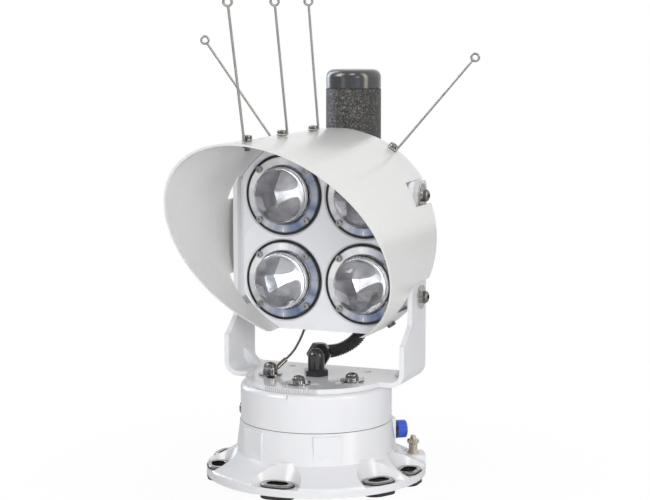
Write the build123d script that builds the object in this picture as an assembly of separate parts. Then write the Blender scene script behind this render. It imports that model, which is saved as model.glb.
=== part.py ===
from build123d import *
import math
import os

# Marine range light: a cast pedestal, a turning U bracket and a tilting head of
# four lens cells under a raked hood, with bird spikes and an antenna tube.
# Millimetres. Origin on the turning axis in the plane that the feet stand on,
# the light beam along -Y, +Z up.

LOW = (Align.CENTER, Align.CENTER, Align.MIN)

# Pedestal casting
foot_t = 3.5               # insulating foot under each bolt slot
rim_margin = 12.0          # flange beyond the bolt circle
rim_t = 9.0                # height of the flange at its rim
rim_round = 3.0
landing_t = 7.7            # casting left under each bolt pocket
cone_toe = 4.5             # sloping flange beyond the drum
cone_rise = 15.0
drum_inset = 23.0          # drum inside the bolt circle
cast_wall = 5.0
seam_z = 59.0              # split between the pedestal and the turned drum
seam_t = 0.6
pocket_r = 25.0
pocket_draft = 22.5

# Bolt slots on the 200 mm circle: three at 120 degrees and four at 90 degrees
bolt_circle_r = 100.0
slot_angles = (0, 60, 90, 180, -90, -60)
slot_l = 22.6
slot_w = 14.0
slot_washer_l = 33.0
slot_washer_w = 22.0
slot_washer_t = 2.0
bush_flange_t = 1.0
bush_lip = 0.8
sleeve_t = 1.5
fit_gap = 0.2

# Pads and fittings on the pedestal
pad_w = 28.0
pad_proud = 3.5
pad_bottom_z = 27.7
pad_top_z = 56.7
pad_angles = (-30, 30)
connector_angle = 125.0
connector_z = 42.0
collar_r = 9.5
collar_t = 4.5
cap_r = 9.2
cap_t = 10.0
earth_angle = 117.0
earth_block_w = 24.0
earth_block_depth = 26.0
earth_block_z = 19.5
earth_stud_r = 3.0
earth_nut_h = 11.0
vent_angle = -75.0
vent_z = 67.0
vent_r = 5.5
vent_head_h = 1.8
vent_neck = 1.0

# Bottom cover, joint screws and the board inside
cover_z = 4.0
cover_t = 3.0
cover_inset = 1.0
cover_head_sunk = 2.6
post_r = 6.5
post_bite = 1.0            # posts sunk into the wall
post_angles = (-30, 60, 150, 240)
joint_screw_r = 2.5
joint_screw_bite = 17.0
board_z = 27.0
board_l = 92.0
board_w = 66.0
board_t = 1.6

# Turned drum
drum_top_z = 97.3
deck_t = 6.0
drum_round = 5.0

# U bracket
sheet_t = 5.0
turn_gap = 0.2             # running gap under and over the turning plate
disc_inset = 5.0
disc_lap = 8.0
bend_r = 10.0
arm_front_low_y = -10.3
arm_front_high_y = 13.5
arm_back_y = 56.0
arm_margin = 14.9          # arm above the lock bolt
step_rise = 46.5           # S-shaped step over the bracket's plate
step_h = 18.0
step_round = 8.0
arm_corner_r = 8.0
scale_half_deg = 22
tick_w = 0.45
tick_deep = 0.9
gusset_leg = 19.0
gusset_w = 5.0
gusset_y = 30.0
lift_hole_r = 4.0
lift_hole_x = 42.0
lift_hole_y = 36.0

# Azimuth clamp
azimuth_half_deg = 20.0
clamp_inset = 25.0
clamp_boss_r = 9.0
clamp_boss_l = 15.3
clamp_bite = 17.3
clamp_angles = (0, 72, -72)
bolt_r = 4.0               # M8
thread_gap = 0.05
bolt_head_r = 7.0
bolt_head_h = 4.6
socket_r = 2.9
socket_deep = 2.6
washer_r = 12.0
washer_t = 1.6
spring_washer_r = 6.6
spring_washer_t = 2.0
lanyard_eye_t = 4.4
slot_play = 0.5

# Cable elbow on the turning axis
elbow_hex_af = 22.4
elbow_hex_h = 6.0
elbow_r = 8.5
elbow_rise = 13.5          # from the hex to the centre of the bend
elbow_out_deg = -8.0       # outlet direction, from straight back towards +X
outlet_nut_af = 22.4
outlet_wall = 1.3
outlet_nut_t = 10.0
outlet_nut_start = 9.5
thread_r = 8.0

# Conduit and lanyard
conduit_r = 6.9
bore_r = 5.5
conduit_play = 0.1
grommet_wall = 1.5
grommet_lip = 4.0
grommet_t = 1.8
wire_rope_r = 1.3
ferrule_r = 2.4
ferrule_l = 13.0
lug_r = 5.0
lug_t = 3.0
lanyard_eye_r = 7.5
anchor_l = 6.0

# Head
head_clear = 42.8          # bracket's plate to the head's lowest edge
cell_web = 4.8             # metal between neighbouring holes
cell_edge = 3.4            # plate beyond a hole at the side
corner_edge = 2.345        # plate beyond a hole at the rounded corner
floor_edge = 8.8           # plate below the lower holes
plate_y = 18.5             # front face of the front plate
plate_t = 3.0
floor_lap = 4.4            # front plate below the housing's floor
side_plate_t = 4.0
side_plate_over = 13.1
side_plate_under = 9.7
shell_wall = 2.2
shell_back_y = 66.0
shell_corner_r = 5.0
corner_r = 3.0
rear_cover_t = 3.5
cover_boss_r = 4.0
cover_boss_l = 10.0
boss_bite = 1.2
cover_screw_angles = (-42, -14, 14, 42)
cover_screw_rise = (-32, 28)
cross_w = 0.9
cross_l = 5.0
cross_deep = 1.2
cover_screw_r = 2.0        # M4
cover_head_r = 3.6
cover_head_h = 2.4

# Lens cell
cell_hole_r = 41.6
cell_chamfer = 1.9
gasket_w = 2.3
gasket_sunk = 0.6
ring_w = 8.3
ring_bevel = 0.9
ring_front_y = 17.8
ring_t = 2.4
lens_play = 0.6
lens_edge_t = 1.6
lens_flange_t = 2.0
dome_h = 21.0
lens_flange_w = 3.0
ring_screw_edge = 2.6
ring_screw_l = 8.8
ring_socket_r = 1.75
ring_screw_deg = 44.5
ring_screw_head_r = 3.5
ring_screw_head_h = 3.0
ring_screw_r = 2.0
led_board_y = 48.4
cup_lip = 2.4
cup_flange_t = 3.0
cup_flange_lap = 1.2
cup_taper = 6.0
led_chip_t = 1.2
led_board_inset = 9.0
led_chip = 9.0
sink_t = 4.0
fin_h = 9.0
fin_t = 2.0
fin_pitch = 12.0
sink_margin = 13.0
fin_inset = 12.0

# Tilt axis and lock
tilt_half_deg = 2.5
pivot_y = 39.0
pivot_drop = 56.3          # tilt axis below the lens centre
lock_rise = 103.2
side_gap = 0.2             # between the bracket arms and what they carry
thread_over = 3.0          # thread showing inside the housing

# Hood
hood_seat_gap = 0.4        # hood round the front plate
hood_t = 2.0
hood_up = 2.0              # hood axis above the lens centre
hood_short = 11.6          # hood's back edge ahead of the housing's
rake_at_lens_y = -95.0     # rim plane at the height of the lens centre
rake_slope = 0.95
window_front_y = 7.5
window_under = 8.9         # window round the lock bolt's arm end
window_over = 15.1
notch_over = 17.3          # notch round the arm at the tilt axis
notch_under = 13.7
window_r = 2.0
window_reach = 40.0        # windows cut this deep from each side
rear_notch_w = 16.0
rear_notch_deep = 4.0
hood_screw_angles = (35, -35, 145, -145)
hood_screw_inset = 5.4
hood_screw_l = 9.0
shell_hole_deep = 12.0

# Bird spikes
spike_wire_r = 1.2
spike_eye_r = 3.8
spike_loop_r = 4.0
spike_lift = 0.18
spike_swell = 0.08         # bent wire over the straight leg
spike_l = 125.5
spike_front_y = (-168.0, -87.0, -8.0)
spike_front_lean = (15.0, 13.3, 11.5)
spike_front_foot = ((0.0, -1.0, 0.0), (0.5, 0.87, 0.0), (0.5, 0.87, 0.0))
spike_side_lean = ((0.67, -0.09, 0.737), (-0.515, -0.22, 0.828))
spike_reach = 6.6          # from the screw's axis to the leg
eye_faces = (-0.38, 0.92, 0.0)
screw_head_r = 4.75        # M5
screw_head_h = 2.8
screw_r = 2.5
nut_af = 8.0
nut_t = 4.0
nut_gap = 0.15             # flat nut under a curved sheet

# Antenna tube behind the head
antenna_gap = 6.2          # between the rear cover and the tube
antenna_r = 29.0
antenna_foot = 0.3         # tube's foot over the lens centre
antenna_l = 151.0
antenna_cap_h = 19.0
antenna_lip = 1.2
cap_roof = 8.0
radio_board_trim = 14.0
radio_board_l = 120.0
antenna_wall = 3.0
antenna_round = 8.0
shelf_t = 4.0
shelf_w = 44.0
shelf_drop = 46.0

# Worked out from the values above
base_r = bolt_circle_r + rim_margin
drum_r = bolt_circle_r - drum_inset
cone_foot_r = drum_r + cone_toe
cover_r = drum_r - cover_inset
disc_r = drum_r - disc_inset
clamp_circle_r = disc_r - clamp_inset
landing_z = foot_t + landing_t
rim_z = foot_t + rim_t
cone_top_z = rim_z + cone_rise
cavity_r = drum_r - cast_wall
post_circle_r = cavity_r + post_bite - post_r
plate_low_z = drum_top_z + turn_gap
plate_top_z = plate_low_z + sheet_t
cell_pitch = 2 * cell_hole_r + cell_web
head_half_w = cell_pitch / 2 + cell_hole_r + cell_edge
head_bottom = cell_pitch / 2 + cell_hole_r + floor_edge
side_plate_x = head_half_w + side_plate_t
arm_in_x = side_plate_x + side_gap
arm_out_x = arm_in_x + sheet_t
lens_z = plate_top_z + head_clear + head_bottom
shell_bottom = head_bottom - floor_lap
head_floor_z = lens_z - shell_bottom
shell_r = math.hypot(cell_pitch / 2, cell_pitch / 2 + hood_up) + cell_hole_r + corner_edge
hood_z = lens_z + hood_up
hood_in_r = shell_r + hood_seat_gap
hood_r = hood_in_r + hood_t
hood_back_y = shell_back_y - hood_short
hood_screw_y = hood_back_y - hood_screw_inset
plate_back_y = plate_y + plate_t
rear_face_y = shell_back_y + rear_cover_t
pivot_z = lens_z - pivot_drop
lock_z = pivot_z + lock_rise
arm_top_z = lock_z + arm_margin
step_z = plate_top_z + step_rise
gasket_out_r = cell_hole_r - fit_gap
gasket_in_r = gasket_out_r - gasket_w
ring_out_r = gasket_in_r - fit_gap
ring_in_r = ring_out_r - ring_w
ring_screw_circle_r = ring_out_r - ring_screw_edge
dome_r = ring_in_r - lens_play
lens_flange_r = dome_r + lens_flange_w
led_board_r = dome_r - led_board_inset
sink_r = shell_r - sink_margin
sink_half_w = head_half_w - sink_margin
sink_bottom = shell_bottom - sink_margin
antenna_y = rear_face_y + antenna_gap + antenna_r
antenna_bottom_z = lens_z + antenna_foot
antenna_split_z = antenna_bottom_z + antenna_l
antenna_top_z = antenna_split_z + antenna_cap_h
lanyard_eye_z = plate_top_z + turn_gap + washer_t
clamp_x = clamp_circle_r * math.sin(math.radians(clamp_angles[-1]))
clamp_y = -clamp_circle_r * math.cos(math.radians(clamp_angles[-1]))
elbow_z = plate_top_z + turn_gap + elbow_hex_h + fit_gap + elbow_rise
cell_centres = [(x * cell_pitch / 2, lens_z + z * cell_pitch / 2) for z in (1, -1) for x in (-1, 1)]



def rising(low, high, share):
    """Height at a share of the way between two levels."""
    return low + (high - low) * share


# The conduit's route from the elbow to the grommet in the head's floor
conduit_route = [
    (-1.67, 11.88, elbow_z),
    (-3.2, 22.8, elbow_z),
    (-1.2, 33.0, rising(elbow_z, head_floor_z, -0.073)),
    (5.2, 41.4, rising(elbow_z, head_floor_z, -0.095)),
    (14.4, 46.2, rising(elbow_z, head_floor_z, -0.029)),
    (23.0, 48.0, rising(elbow_z, head_floor_z, 0.176)),
    (28.8, 48.8, rising(elbow_z, head_floor_z, 0.476)),
    (31.4, 49.0, rising(elbow_z, head_floor_z, 0.813)),
    (31.4, 49.0, rising(elbow_z, head_floor_z, 1.377)),
]

# The lanyard's route from its ferrule to the anchor in the head's floor
lanyard_route = [
    (clamp_x + 9.7, clamp_y + 17.5, rising(plate_top_z, head_floor_z, 0.286)),
    (clamp_x + 13.5, clamp_y + 23.1, rising(plate_top_z, head_floor_z, 0.388)),
    (clamp_x + 16.1, clamp_y + 29.1, rising(plate_top_z, head_floor_z, 0.511)),
    (clamp_x + 17.3, clamp_y + 35.9, rising(plate_top_z, head_floor_z, 0.638)),
    (clamp_x + 17.7, clamp_y + 42.9, rising(plate_top_z, head_floor_z, 0.752)),
    (clamp_x + 17.7, clamp_y + 48.1, rising(plate_top_z, head_floor_z, 0.858)),
]


def around(part, degrees):
    """Turn a piece made at the front to its angle about the turning axis."""
    return Rot(0, 0, degrees) * part


def rod(radius, low, high):
    """Upright cylinder between two heights."""
    return Pos(0, 0, low) * Cylinder(radius, high - low, align=LOW)


def tube(out_r, in_r, low, high):
    """Upright ring between two heights."""
    return rod(out_r, low, high) - rod(in_r, low, high)


def prism(sketch, low, high):
    """A flat shape drawn in X and Y, standing from one height to another."""
    return extrude(Pos(0, 0, low) * sketch, high - low)


def facing(sketch, near_y, far_y):
    """A shape drawn in X and Z, as thick as from one depth to another."""
    back = Plane(origin=(0, far_y, 0), x_dir=(1, 0, 0), z_dir=(0, -1, 0))
    return extrude(back * sketch, far_y - near_y)


def slot_prism(length, width, low, high):
    """Upright slot-shaped prism with its long way across the radius."""
    return prism(SlotOverall(length, width), low, high)


def at_slots(part):
    """One copy of a piece at each bolt slot."""
    return [around(Pos(0, -bolt_circle_r, 0) * part, a) for a in slot_angles]


def base_casting():
    """Flange, drafted bolt pockets and lower drum, cast in one piece."""
    outline = make_face(Polyline(
        (cavity_r, foot_t), (base_r, foot_t), (base_r, rim_z), (cone_foot_r, cone_top_z),
        (drum_r + 0.6, seam_z), (cavity_r, seam_z), close=True))
    body = revolve(Plane.XZ * outline, Axis.Z)
    rims = body.edges().filter_by(GeomType.CIRCLE).filter_by(lambda e: abs(e.radius - base_r) < 0.01)
    body = fillet(rims.sort_by(Axis.Z)[-1], rim_round)

    pad_reach = drum_r + pad_proud
    pad_root = drum_r - cast_wall / 2
    for a in pad_angles + (connector_angle,):
        pad = Pos(0, -(pad_root + pad_reach) / 2, pad_bottom_z) * Box(
            pad_w, pad_reach - pad_root, pad_top_z - pad_bottom_z, align=LOW)
        body += around(pad, a)

    block = Pos(0, -bolt_circle_r, foot_t) * Box(
        earth_block_w, earth_block_depth, earth_block_z - foot_t, align=LOW)
    body += around(block, earth_angle) & rod(base_r, foot_t, earth_block_z)
    above = Pos(0, -bolt_circle_r, earth_block_z) * Box(
        earth_block_w, earth_block_depth, cone_rise, align=LOW)
    body -= around(above, earth_angle)

    pocket_h = cone_top_z + 3.0 - landing_z
    pocket_top_r = pocket_r + pocket_h * math.tan(math.radians(pocket_draft))
    pocket = Pos(0, -base_r, landing_z) * Cone(pocket_r, pocket_top_r, pocket_h, align=LOW)
    sleeve_hole = slot_prism(slot_l + 2 * (sleeve_t + fit_gap), slot_w + 2 * (sleeve_t + fit_gap),
                             0, cone_top_z)
    for a in slot_angles:
        body -= around(pocket, a)
        body -= around(Pos(0, -bolt_circle_r, 0) * sleeve_hole, a)

    body -= rod(cover_r + fit_gap, foot_t, cover_z + cover_t + seam_t)
    for a in post_angles:
        post = rod(post_r, cover_z + cover_t, seam_z)
        hole = rod(joint_screw_r + thread_gap, foot_t, seam_z)
        body += around(Pos(0, -post_circle_r, 0) * post, a)
        body -= around(Pos(0, -post_circle_r, 0) * hole, a)
    body -= around(Pos(0, 0, connector_z) * Rot(90, 0, 0) * Cylinder(
        collar_r - 2.0, base_r, align=LOW), connector_angle)
    body -= around(Pos(0, -pad_reach, connector_z) * Rot(90, 0, 0) * Cylinder(
        collar_r + 0.5, base_r - pad_reach, align=LOW), connector_angle)
    body -= around(Pos(0, -bolt_circle_r, 0) * rod(earth_stud_r + thread_gap, foot_t, earth_block_z),
                   earth_angle)
    return body


def base_cover():
    """Plate that closes the pedestal from below."""
    plate = rod(cover_r, cover_z, cover_z + cover_t)
    for a in post_angles:
        plate -= around(Pos(0, -post_circle_r, 0) * rod(joint_screw_r + fit_gap, cover_z,
                                                         cover_z + cover_t), a)
    return plate


def joint_screws():
    """Long screws from the cover up into the turned drum."""
    top = seam_z + seam_t + joint_screw_bite
    screw = rod(joint_screw_r, cover_z, top) + rod(cover_head_r, cover_z - cover_head_sunk, cover_z)
    screw -= Pos(0, 0, cover_z - cover_head_sunk) * prism(RegularPolygon(ring_socket_r, 6), 0, cover_head_sunk / 2)
    return [around(Pos(0, -post_circle_r, 0) * screw, a) for a in post_angles]


def drum_housing():
    """Upper drum with its deck, clamp bosses and index mark."""
    low = seam_z + seam_t
    body = rod(drum_r, low, drum_top_z)
    body = fillet(body.edges().sort_by(Axis.Z)[-1], drum_round)
    body -= rod(cavity_r, low, drum_top_z - deck_t)
    for a in clamp_angles:
        body += around(Pos(0, -clamp_circle_r, 0) * rod(
            clamp_boss_r, drum_top_z - deck_t - clamp_boss_l, drum_top_z - deck_t), a)
        body -= around(Pos(0, -clamp_circle_r, 0) * rod(
            bolt_r, drum_top_z - clamp_bite - 1.0, drum_top_z), a)
    for a in post_angles:
        body += around(Pos(0, -post_circle_r, 0) * rod(post_r, low, drum_top_z - deck_t), a)
        body -= around(Pos(0, -post_circle_r, 0) * rod(
            joint_screw_r + thread_gap, low, low + joint_screw_bite + 1.0), a)
    body -= rod(thread_r + thread_gap, drum_top_z - deck_t, drum_top_z)
    body -= around(Pos(0, 0, vent_z) * Rot(90, 0, 0) * Cylinder(
        vent_r - vent_neck, base_r, align=LOW), vent_angle)
    mark = Pos(0, -drum_r + 0.2, drum_top_z - drum_round - 1.6) * Box(0.8, 1.0, 3.2)
    return body + mark


def lower_bushes():
    """Insulating feet with the sleeves that line the bolt slots."""
    foot = slot_prism(slot_washer_l + 2 * bush_lip, slot_washer_w + 2 * bush_lip, 0, foot_t)
    foot += slot_prism(slot_l + 2 * sleeve_t, slot_w + 2 * sleeve_t, foot_t, landing_z)
    return at_slots(foot - slot_prism(slot_l, slot_w, 0, landing_z))


def upper_bushes():
    """Insulating rings between the pockets and the steel washers."""
    top = landing_z + bush_flange_t
    ring = slot_prism(slot_washer_l + 2 * bush_lip, slot_washer_w + 2 * bush_lip, landing_z, top)
    return at_slots(ring - slot_prism(slot_l, slot_w, landing_z, top))


def slot_washers():
    """Steel washers over the bolt slots."""
    low = landing_z + bush_flange_t
    plate = slot_prism(slot_washer_l, slot_washer_w, low, low + slot_washer_t)
    plate -= slot_prism(slot_l, slot_w, low, low + slot_washer_t)
    return at_slots(chamfer(plate.edges().group_by(Axis.Z)[-1], 0.4))


def connector_collar():
    """Black panel socket: collar outside, threaded tail and nut inside the wall."""
    face = drum_r + pad_proud
    body = Cylinder(collar_r, collar_t, align=LOW)
    body += Pos(0, 0, collar_t) * Cylinder(collar_r - 3.0, cap_t - 3.0, align=LOW)
    tail = Pos(0, 0, -(pad_proud + cast_wall + 9.0)) * Cylinder(
        collar_r - 2.0 - thread_gap, pad_proud + cast_wall + 9.0, align=LOW)
    nut = Pos(0, 0, -(pad_proud + cast_wall + 5.0)) * extrude(RegularPolygon(10.5, 6), 3.0)
    return radial(body + tail + nut, connector_angle, face, connector_z)


def connector_cap():
    """Blue screw cap with a grip of shallow flats."""
    body = Cylinder(cap_r, cap_t, align=LOW)
    body = fillet(body.edges().sort_by(Axis.Z)[-1], 1.6)
    for k in range(16):
        body -= Rot(0, 0, k * 22.5) * Pos(cap_r + 0.3, 0, 0) * Cylinder(0.8, cap_t - 2.2, align=LOW)
    body -= Cylinder(collar_r - 3.0 + thread_gap, cap_t - 2.8, align=LOW)
    return radial(body, connector_angle, drum_r + pad_proud + collar_t, connector_z)


def radial(part, degrees, radius, height):
    """Place a piece made along +Z so that it points out from the turning axis."""
    return around(Pos(0, -radius, height) * Rot(90, 0, 0) * part, degrees)


def vent_plug():
    """Pressure vent in the side of the drum."""
    tail_l = cast_wall + vent_neck
    head = Cylinder(vent_r, vent_head_h, align=LOW)
    head = chamfer(head.edges().sort_by(Axis.Z)[-1], vent_head_h / 3)
    tail = Pos(0, 0, -tail_l) * Cylinder(vent_r - vent_neck - thread_gap, tail_l, align=LOW)
    slot = Pos(0, 0, vent_head_h) * Box(vent_r, vent_neck, vent_head_h)
    return radial(head + tail - slot, vent_angle, drum_r, vent_z)


def earth_stud():
    """Threaded earth stud with its tip standing over the nut."""
    stud = rod(earth_stud_r, foot_t + 1.0, earth_block_z + 18.5)
    stud = chamfer(stud.edges().sort_by(Axis.Z)[-1], 0.8)
    return around(Pos(0, -bolt_circle_r, 0) * stud, earth_angle)


def earth_nut():
    """Turned nut: flared foot, waist and a notched crown."""
    z = earth_block_z
    hole = earth_stud_r + thread_gap
    outline = make_face(Polyline(
        (hole, z), (6.0, z), (6.0, z + 1.6), (4.4, z + 3.4), (4.4, z + earth_nut_h - 1.6),
        (6.2, z + earth_nut_h), (6.2, z + earth_nut_h + 2.6), (4.6, z + earth_nut_h + 4.0),
        (hole, z + earth_nut_h + 4.0), close=True))
    nut = revolve(Plane.XZ * outline, Axis.Z)
    for k in range(8):
        nut -= Rot(0, 0, k * 45) * Pos(6.6, 0, z + earth_nut_h - 1.0) * Cylinder(1.1, 8.0, align=LOW)
    return around(Pos(0, -bolt_circle_r, 0) * nut, earth_angle)


def board_pillars():
    """Hex pillars that carry the board over the cover."""
    pillar = prism(RegularPolygon(3.2, 6), cover_z + cover_t, board_z)
    return [Pos(x * (board_l / 2 - 7), y * (board_w / 2 - 6), 0) * pillar
            for x in (-1, 1) for y in (-1, 1)]


def power_board():
    """Driver board in the pedestal, with its coil and capacitors."""
    board = Pos(0, 0, board_z) * Box(board_l, board_w, board_t, align=LOW)
    top = board_z + board_t
    board += Pos(-20, 8, 0) * tube(13.0, 6.0, top, top + 11.0)
    for k in range(3):
        board += Pos(18 + 12 * k, -16, 0) * rod(5.0, top, top + 16.0)
    return board


def terminal_block():
    """Screw terminals for the supply leads."""
    top = board_z + board_t
    block = Pos(24, 20, top) * Box(36, 11, 11, align=LOW)
    for k in range(6):
        block -= Pos(24 + (k - 2.5) * 5.6, 20, 0) * rod(2.0, top + 5.0, top + 11.0)
    return block


def bolt(shank_l):
    """Button-head M8 bolt pointing up, with its seat at zero."""
    r, h = bolt_head_r, bolt_head_h
    outline = make_face(Polyline((0, 0), (r, 0), (r, 1.2)) + ThreePointArc(
        (r, 1.2), (r * 0.80, h * 0.74), (r * 0.42, h)) + Polyline((r * 0.42, h), (0, h), (0, 0)))
    head = revolve(Plane.XZ * outline, Axis.Z)
    head -= Pos(0, 0, h - socket_deep) * extrude(RegularPolygon(socket_r, 6), socket_deep)
    return head + rod(bolt_r - thread_gap, -shank_l, 0)


def spring_washer():
    """Split lock washer."""
    ring = tube(spring_washer_r, bolt_r + fit_gap, 0, spring_washer_t)
    return ring - Pos(spring_washer_r, 0, 0) * Box(6.0, 1.0, 3 * spring_washer_t)


def azimuth_stack(degrees):
    """Height of the clamp washer's top, which the lanyard's eye raises on one bolt."""
    return lanyard_eye_z + (lanyard_eye_t if degrees == clamp_angles[-1] else 0.0)


def at_clamps(make):
    """One piece at each clamp bolt, made for that bolt's height."""
    return [around(Pos(0, -clamp_circle_r, 0) * make(a), a) for a in clamp_angles]


def azimuth_bolts():
    def one(a):
        seat = azimuth_stack(a) + spring_washer_t
        return Pos(0, 0, seat) * bolt(seat - drum_top_z + clamp_bite)
    return at_clamps(one)


def azimuth_washers():
    low = plate_top_z + turn_gap
    return at_clamps(lambda a: tube(washer_r, bolt_r + fit_gap, low, low + washer_t))


def azimuth_spring_washers():
    return at_clamps(lambda a: Pos(0, 0, azimuth_stack(a)) * spring_washer())


def arm_side_cut():
    """What is cut from the front of both arms above the S-shaped step."""
    wide = 4 * arm_out_x
    low, high = step_z - step_h / 2, step_z + step_h / 2
    far = arm_front_low_y - 60
    outline = FilletPolyline(
        (far, low), (arm_front_low_y + 1, low), (arm_front_high_y, high),
        (arm_front_high_y, arm_top_z + 20), radius=step_round)
    closing = Polyline((arm_front_high_y, arm_top_z + 20), (far, arm_top_z + 20), (far, low))
    face = Plane.YZ * make_face(outline + closing)
    return extrude(face, wide / 2, both=True)


def yoke_bracket():
    """Bent U bracket: front disc, two arms, clamp slots and degree scale."""
    out = FilletPolyline((-arm_out_x, arm_top_z), (-arm_out_x, plate_low_z),
                         (arm_out_x, plate_low_z), (arm_out_x, arm_top_z),
                         radius=bend_r + sheet_t)
    inner = FilletPolyline((arm_in_x, arm_top_z), (arm_in_x, plate_top_z),
                           (-arm_in_x, plate_top_z), (-arm_in_x, arm_top_z), radius=bend_r)
    ends = Line((arm_out_x, arm_top_z), (arm_in_x, arm_top_z)) + Line(
        (-arm_in_x, arm_top_z), (-arm_out_x, arm_top_z))
    body = facing(make_face(out + inner + ends), arm_front_low_y, arm_back_y)
    body -= arm_side_cut()
    corners = body.edges().filter_by(Axis.X).filter_by(lambda e: e.center().Z > arm_top_z - 1)
    body = fillet(corners, arm_corner_r)
    disc = rod(disc_r, plate_low_z, plate_top_z) & Pos(0, -disc_r, 0) * Box(
        3 * disc_r, 2 * (disc_r + arm_front_low_y) + disc_lap, 4 * plate_top_z)
    body += disc

    slot = arc_slot(clamp_circle_r, azimuth_half_deg + 0.6, bolt_r + slot_play)
    for a in clamp_angles:
        body -= around(prism(slot, plate_low_z, plate_top_z), a)
    body -= rod(elbow_hex_af / 2 - 0.6, plate_low_z, plate_top_z)
    for x in (-lift_hole_x, lift_hole_x):
        body -= Pos(x, lift_hole_y, 0) * rod(lift_hole_r, plate_low_z, plate_top_z)
    for a in range(-scale_half_deg, scale_half_deg + 1):
        deep = tick_deep * (1.6 if a % 5 == 0 else 1.0)
        tick = Pos(0, -disc_r, plate_low_z) * Box(tick_w, 2 * deep, sheet_t, align=LOW)
        body -= around(tick, a)
    for side in (-1, 1):
        body += gusset(side)
        body -= Plane.YZ.offset(0) * Pos(pivot_y, pivot_z, side * arm_out_x) * Cylinder(
            bolt_r, 4 * sheet_t)
        body -= lock_slot(side)
    return body


def arc_slot(radius, half_deg, half_w):
    """Arc-shaped slot about the turning axis, centred on the front."""
    line = CenterArc((0, 0), radius, -90 - half_deg, 2 * half_deg)
    return SlotArc(line, 2 * half_w)


def lock_slot(side):
    """Arc slot in one arm, about the tilt axis, for the lock bolt."""
    line = CenterArc((0, 0), lock_rise, 90 - tilt_half_deg - 0.3, 2 * tilt_half_deg + 0.6)
    sketch = SlotArc(line, 2 * (bolt_r + slot_play))
    plane = Plane(origin=(side * arm_out_x, pivot_y, pivot_z), x_dir=(0, 1, 0), z_dir=(1, 0, 0))
    return extrude(plane * sketch, 2 * sheet_t, both=True)


def gusset(side):
    """Pressed dart across the inside of one bend."""
    x, z = side * arm_in_x, plate_top_z
    outline = make_face(Polyline((x, z), (x - side * gusset_leg, z), (x, z + gusset_leg), close=True))
    return facing(outline, gusset_y - gusset_w / 2, gusset_y + gusset_w / 2)


def outlet_plane(distance):
    """Plane across the elbow's outlet, this far from the turning axis."""
    a = math.radians(elbow_out_deg)
    d = Vector(math.sin(a), math.cos(a), 0)
    return Plane(origin=(d.X * distance, d.Y * distance, elbow_z), z_dir=d)


def elbow_base():
    """Hex foot of the elbow, screwed through the bracket into the deck."""
    low = plate_top_z + turn_gap
    body = prism(RegularPolygon(elbow_hex_af / 2, 6, major_radius=False), low, low + elbow_hex_h)
    body += rod(elbow_hex_af / 2 - 1.0, drum_top_z, low)
    body += rod(thread_r, drum_top_z - deck_t - 9.0, drum_top_z)
    return body - rod(bore_r, drum_top_z - deck_t - 9.0, low + elbow_hex_h)


def elbow_locknut():
    """Nut under the deck."""
    top = drum_top_z - deck_t
    nut = prism(RegularPolygon(12.0, 6, major_radius=False), top - 5.0, top)
    return nut - rod(thread_r + thread_gap, top - 5.0, top)


def elbow_body():
    """Swivelling elbow, domed over the turning axis."""
    low = plate_top_z + turn_gap + elbow_hex_h + fit_gap
    body = rod(elbow_r, low, elbow_z) + Pos(0, 0, elbow_z) * Sphere(elbow_r)
    body += outlet_plane(0) * Cylinder(elbow_r - 0.6, outlet_nut_start, align=LOW)
    body += outlet_plane(outlet_nut_start) * Cylinder(conduit_r + outlet_wall, outlet_nut_t, align=LOW)
    body -= rod(bore_r, low, elbow_z)
    return body - outlet_plane(0) * Cylinder(
        conduit_r + conduit_play, 2 * (outlet_nut_start + outlet_nut_t), align=LOW)


def elbow_nut():
    """Domed hex nut that grips the conduit."""
    nut = extrude(RegularPolygon(outlet_nut_af / 2, 6, major_radius=False), outlet_nut_t)
    cone = Cone(outlet_nut_af / 2 + 3.2, outlet_nut_af / 2 - 0.6, outlet_nut_t, align=LOW)
    nut = nut & cone
    nut -= Cylinder(conduit_r + outlet_wall + thread_gap, outlet_nut_t, align=LOW)
    return outlet_plane(outlet_nut_start) * nut


def routed(points, radius):
    """Round tube along straight runs joined by tangent arcs as large as the runs allow."""
    corners = [Vector(*p) for p in points]
    radii = []
    for a, b, c in zip(corners, corners[1:], corners[2:]):
        turn = (b - a).get_angle(c - b)
        run = 0.45 * min((b - a).length, (c - b).length)
        radii.append(run / math.tan(math.radians(turn) / 2))
    path = FilletPolyline(*corners, radius=radii)
    start = Plane(origin=path @ 0, z_dir=path % 0)
    solid = sweep(start * Circle(radius), path=path)
    print("route", round(path.length, 1), "mm, radii", [round(r, 1) for r in radii],
          "volume ratio", round(solid.volume / (math.pi * radius ** 2 * path.length), 4))
    return solid


def conduit():
    """Corrugated conduit from the elbow into the head's floor."""
    return routed(conduit_route, conduit_r)


def lanyard():
    """Steel safety rope from the clamp bolt to the head."""
    return routed(lanyard_route, wire_rope_r)


def lanyard_eye():
    """Pressed eye under the clamp bolt and the ferrule on the rope."""
    low = lanyard_eye_z
    eye = Pos(clamp_x, clamp_y, 0) * tube(lanyard_eye_r, bolt_r + fit_gap, low, low + lanyard_eye_t)
    end = Vector(*lanyard_route[0])
    along = (Vector(*lanyard_route[1]) - end).normalized()
    start = end - along * ferrule_l
    sleeve = Plane(origin=start, z_dir=along) * Cylinder(ferrule_r, ferrule_l, align=LOW)
    return eye + sleeve


def head_outline(arc_r, half_w, bottom, corner):
    """Circle about the hood's axis, flattened at both sides and below."""
    left, right = -half_w, half_w
    floor = lens_z - bottom
    box = Pos(0, (floor + hood_z + arc_r) / 2) * Rectangle(right - left, hood_z + arc_r - floor)
    face = Pos(0, hood_z) * Circle(arc_r) & box
    return fillet(face.vertices(), corner)


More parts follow.
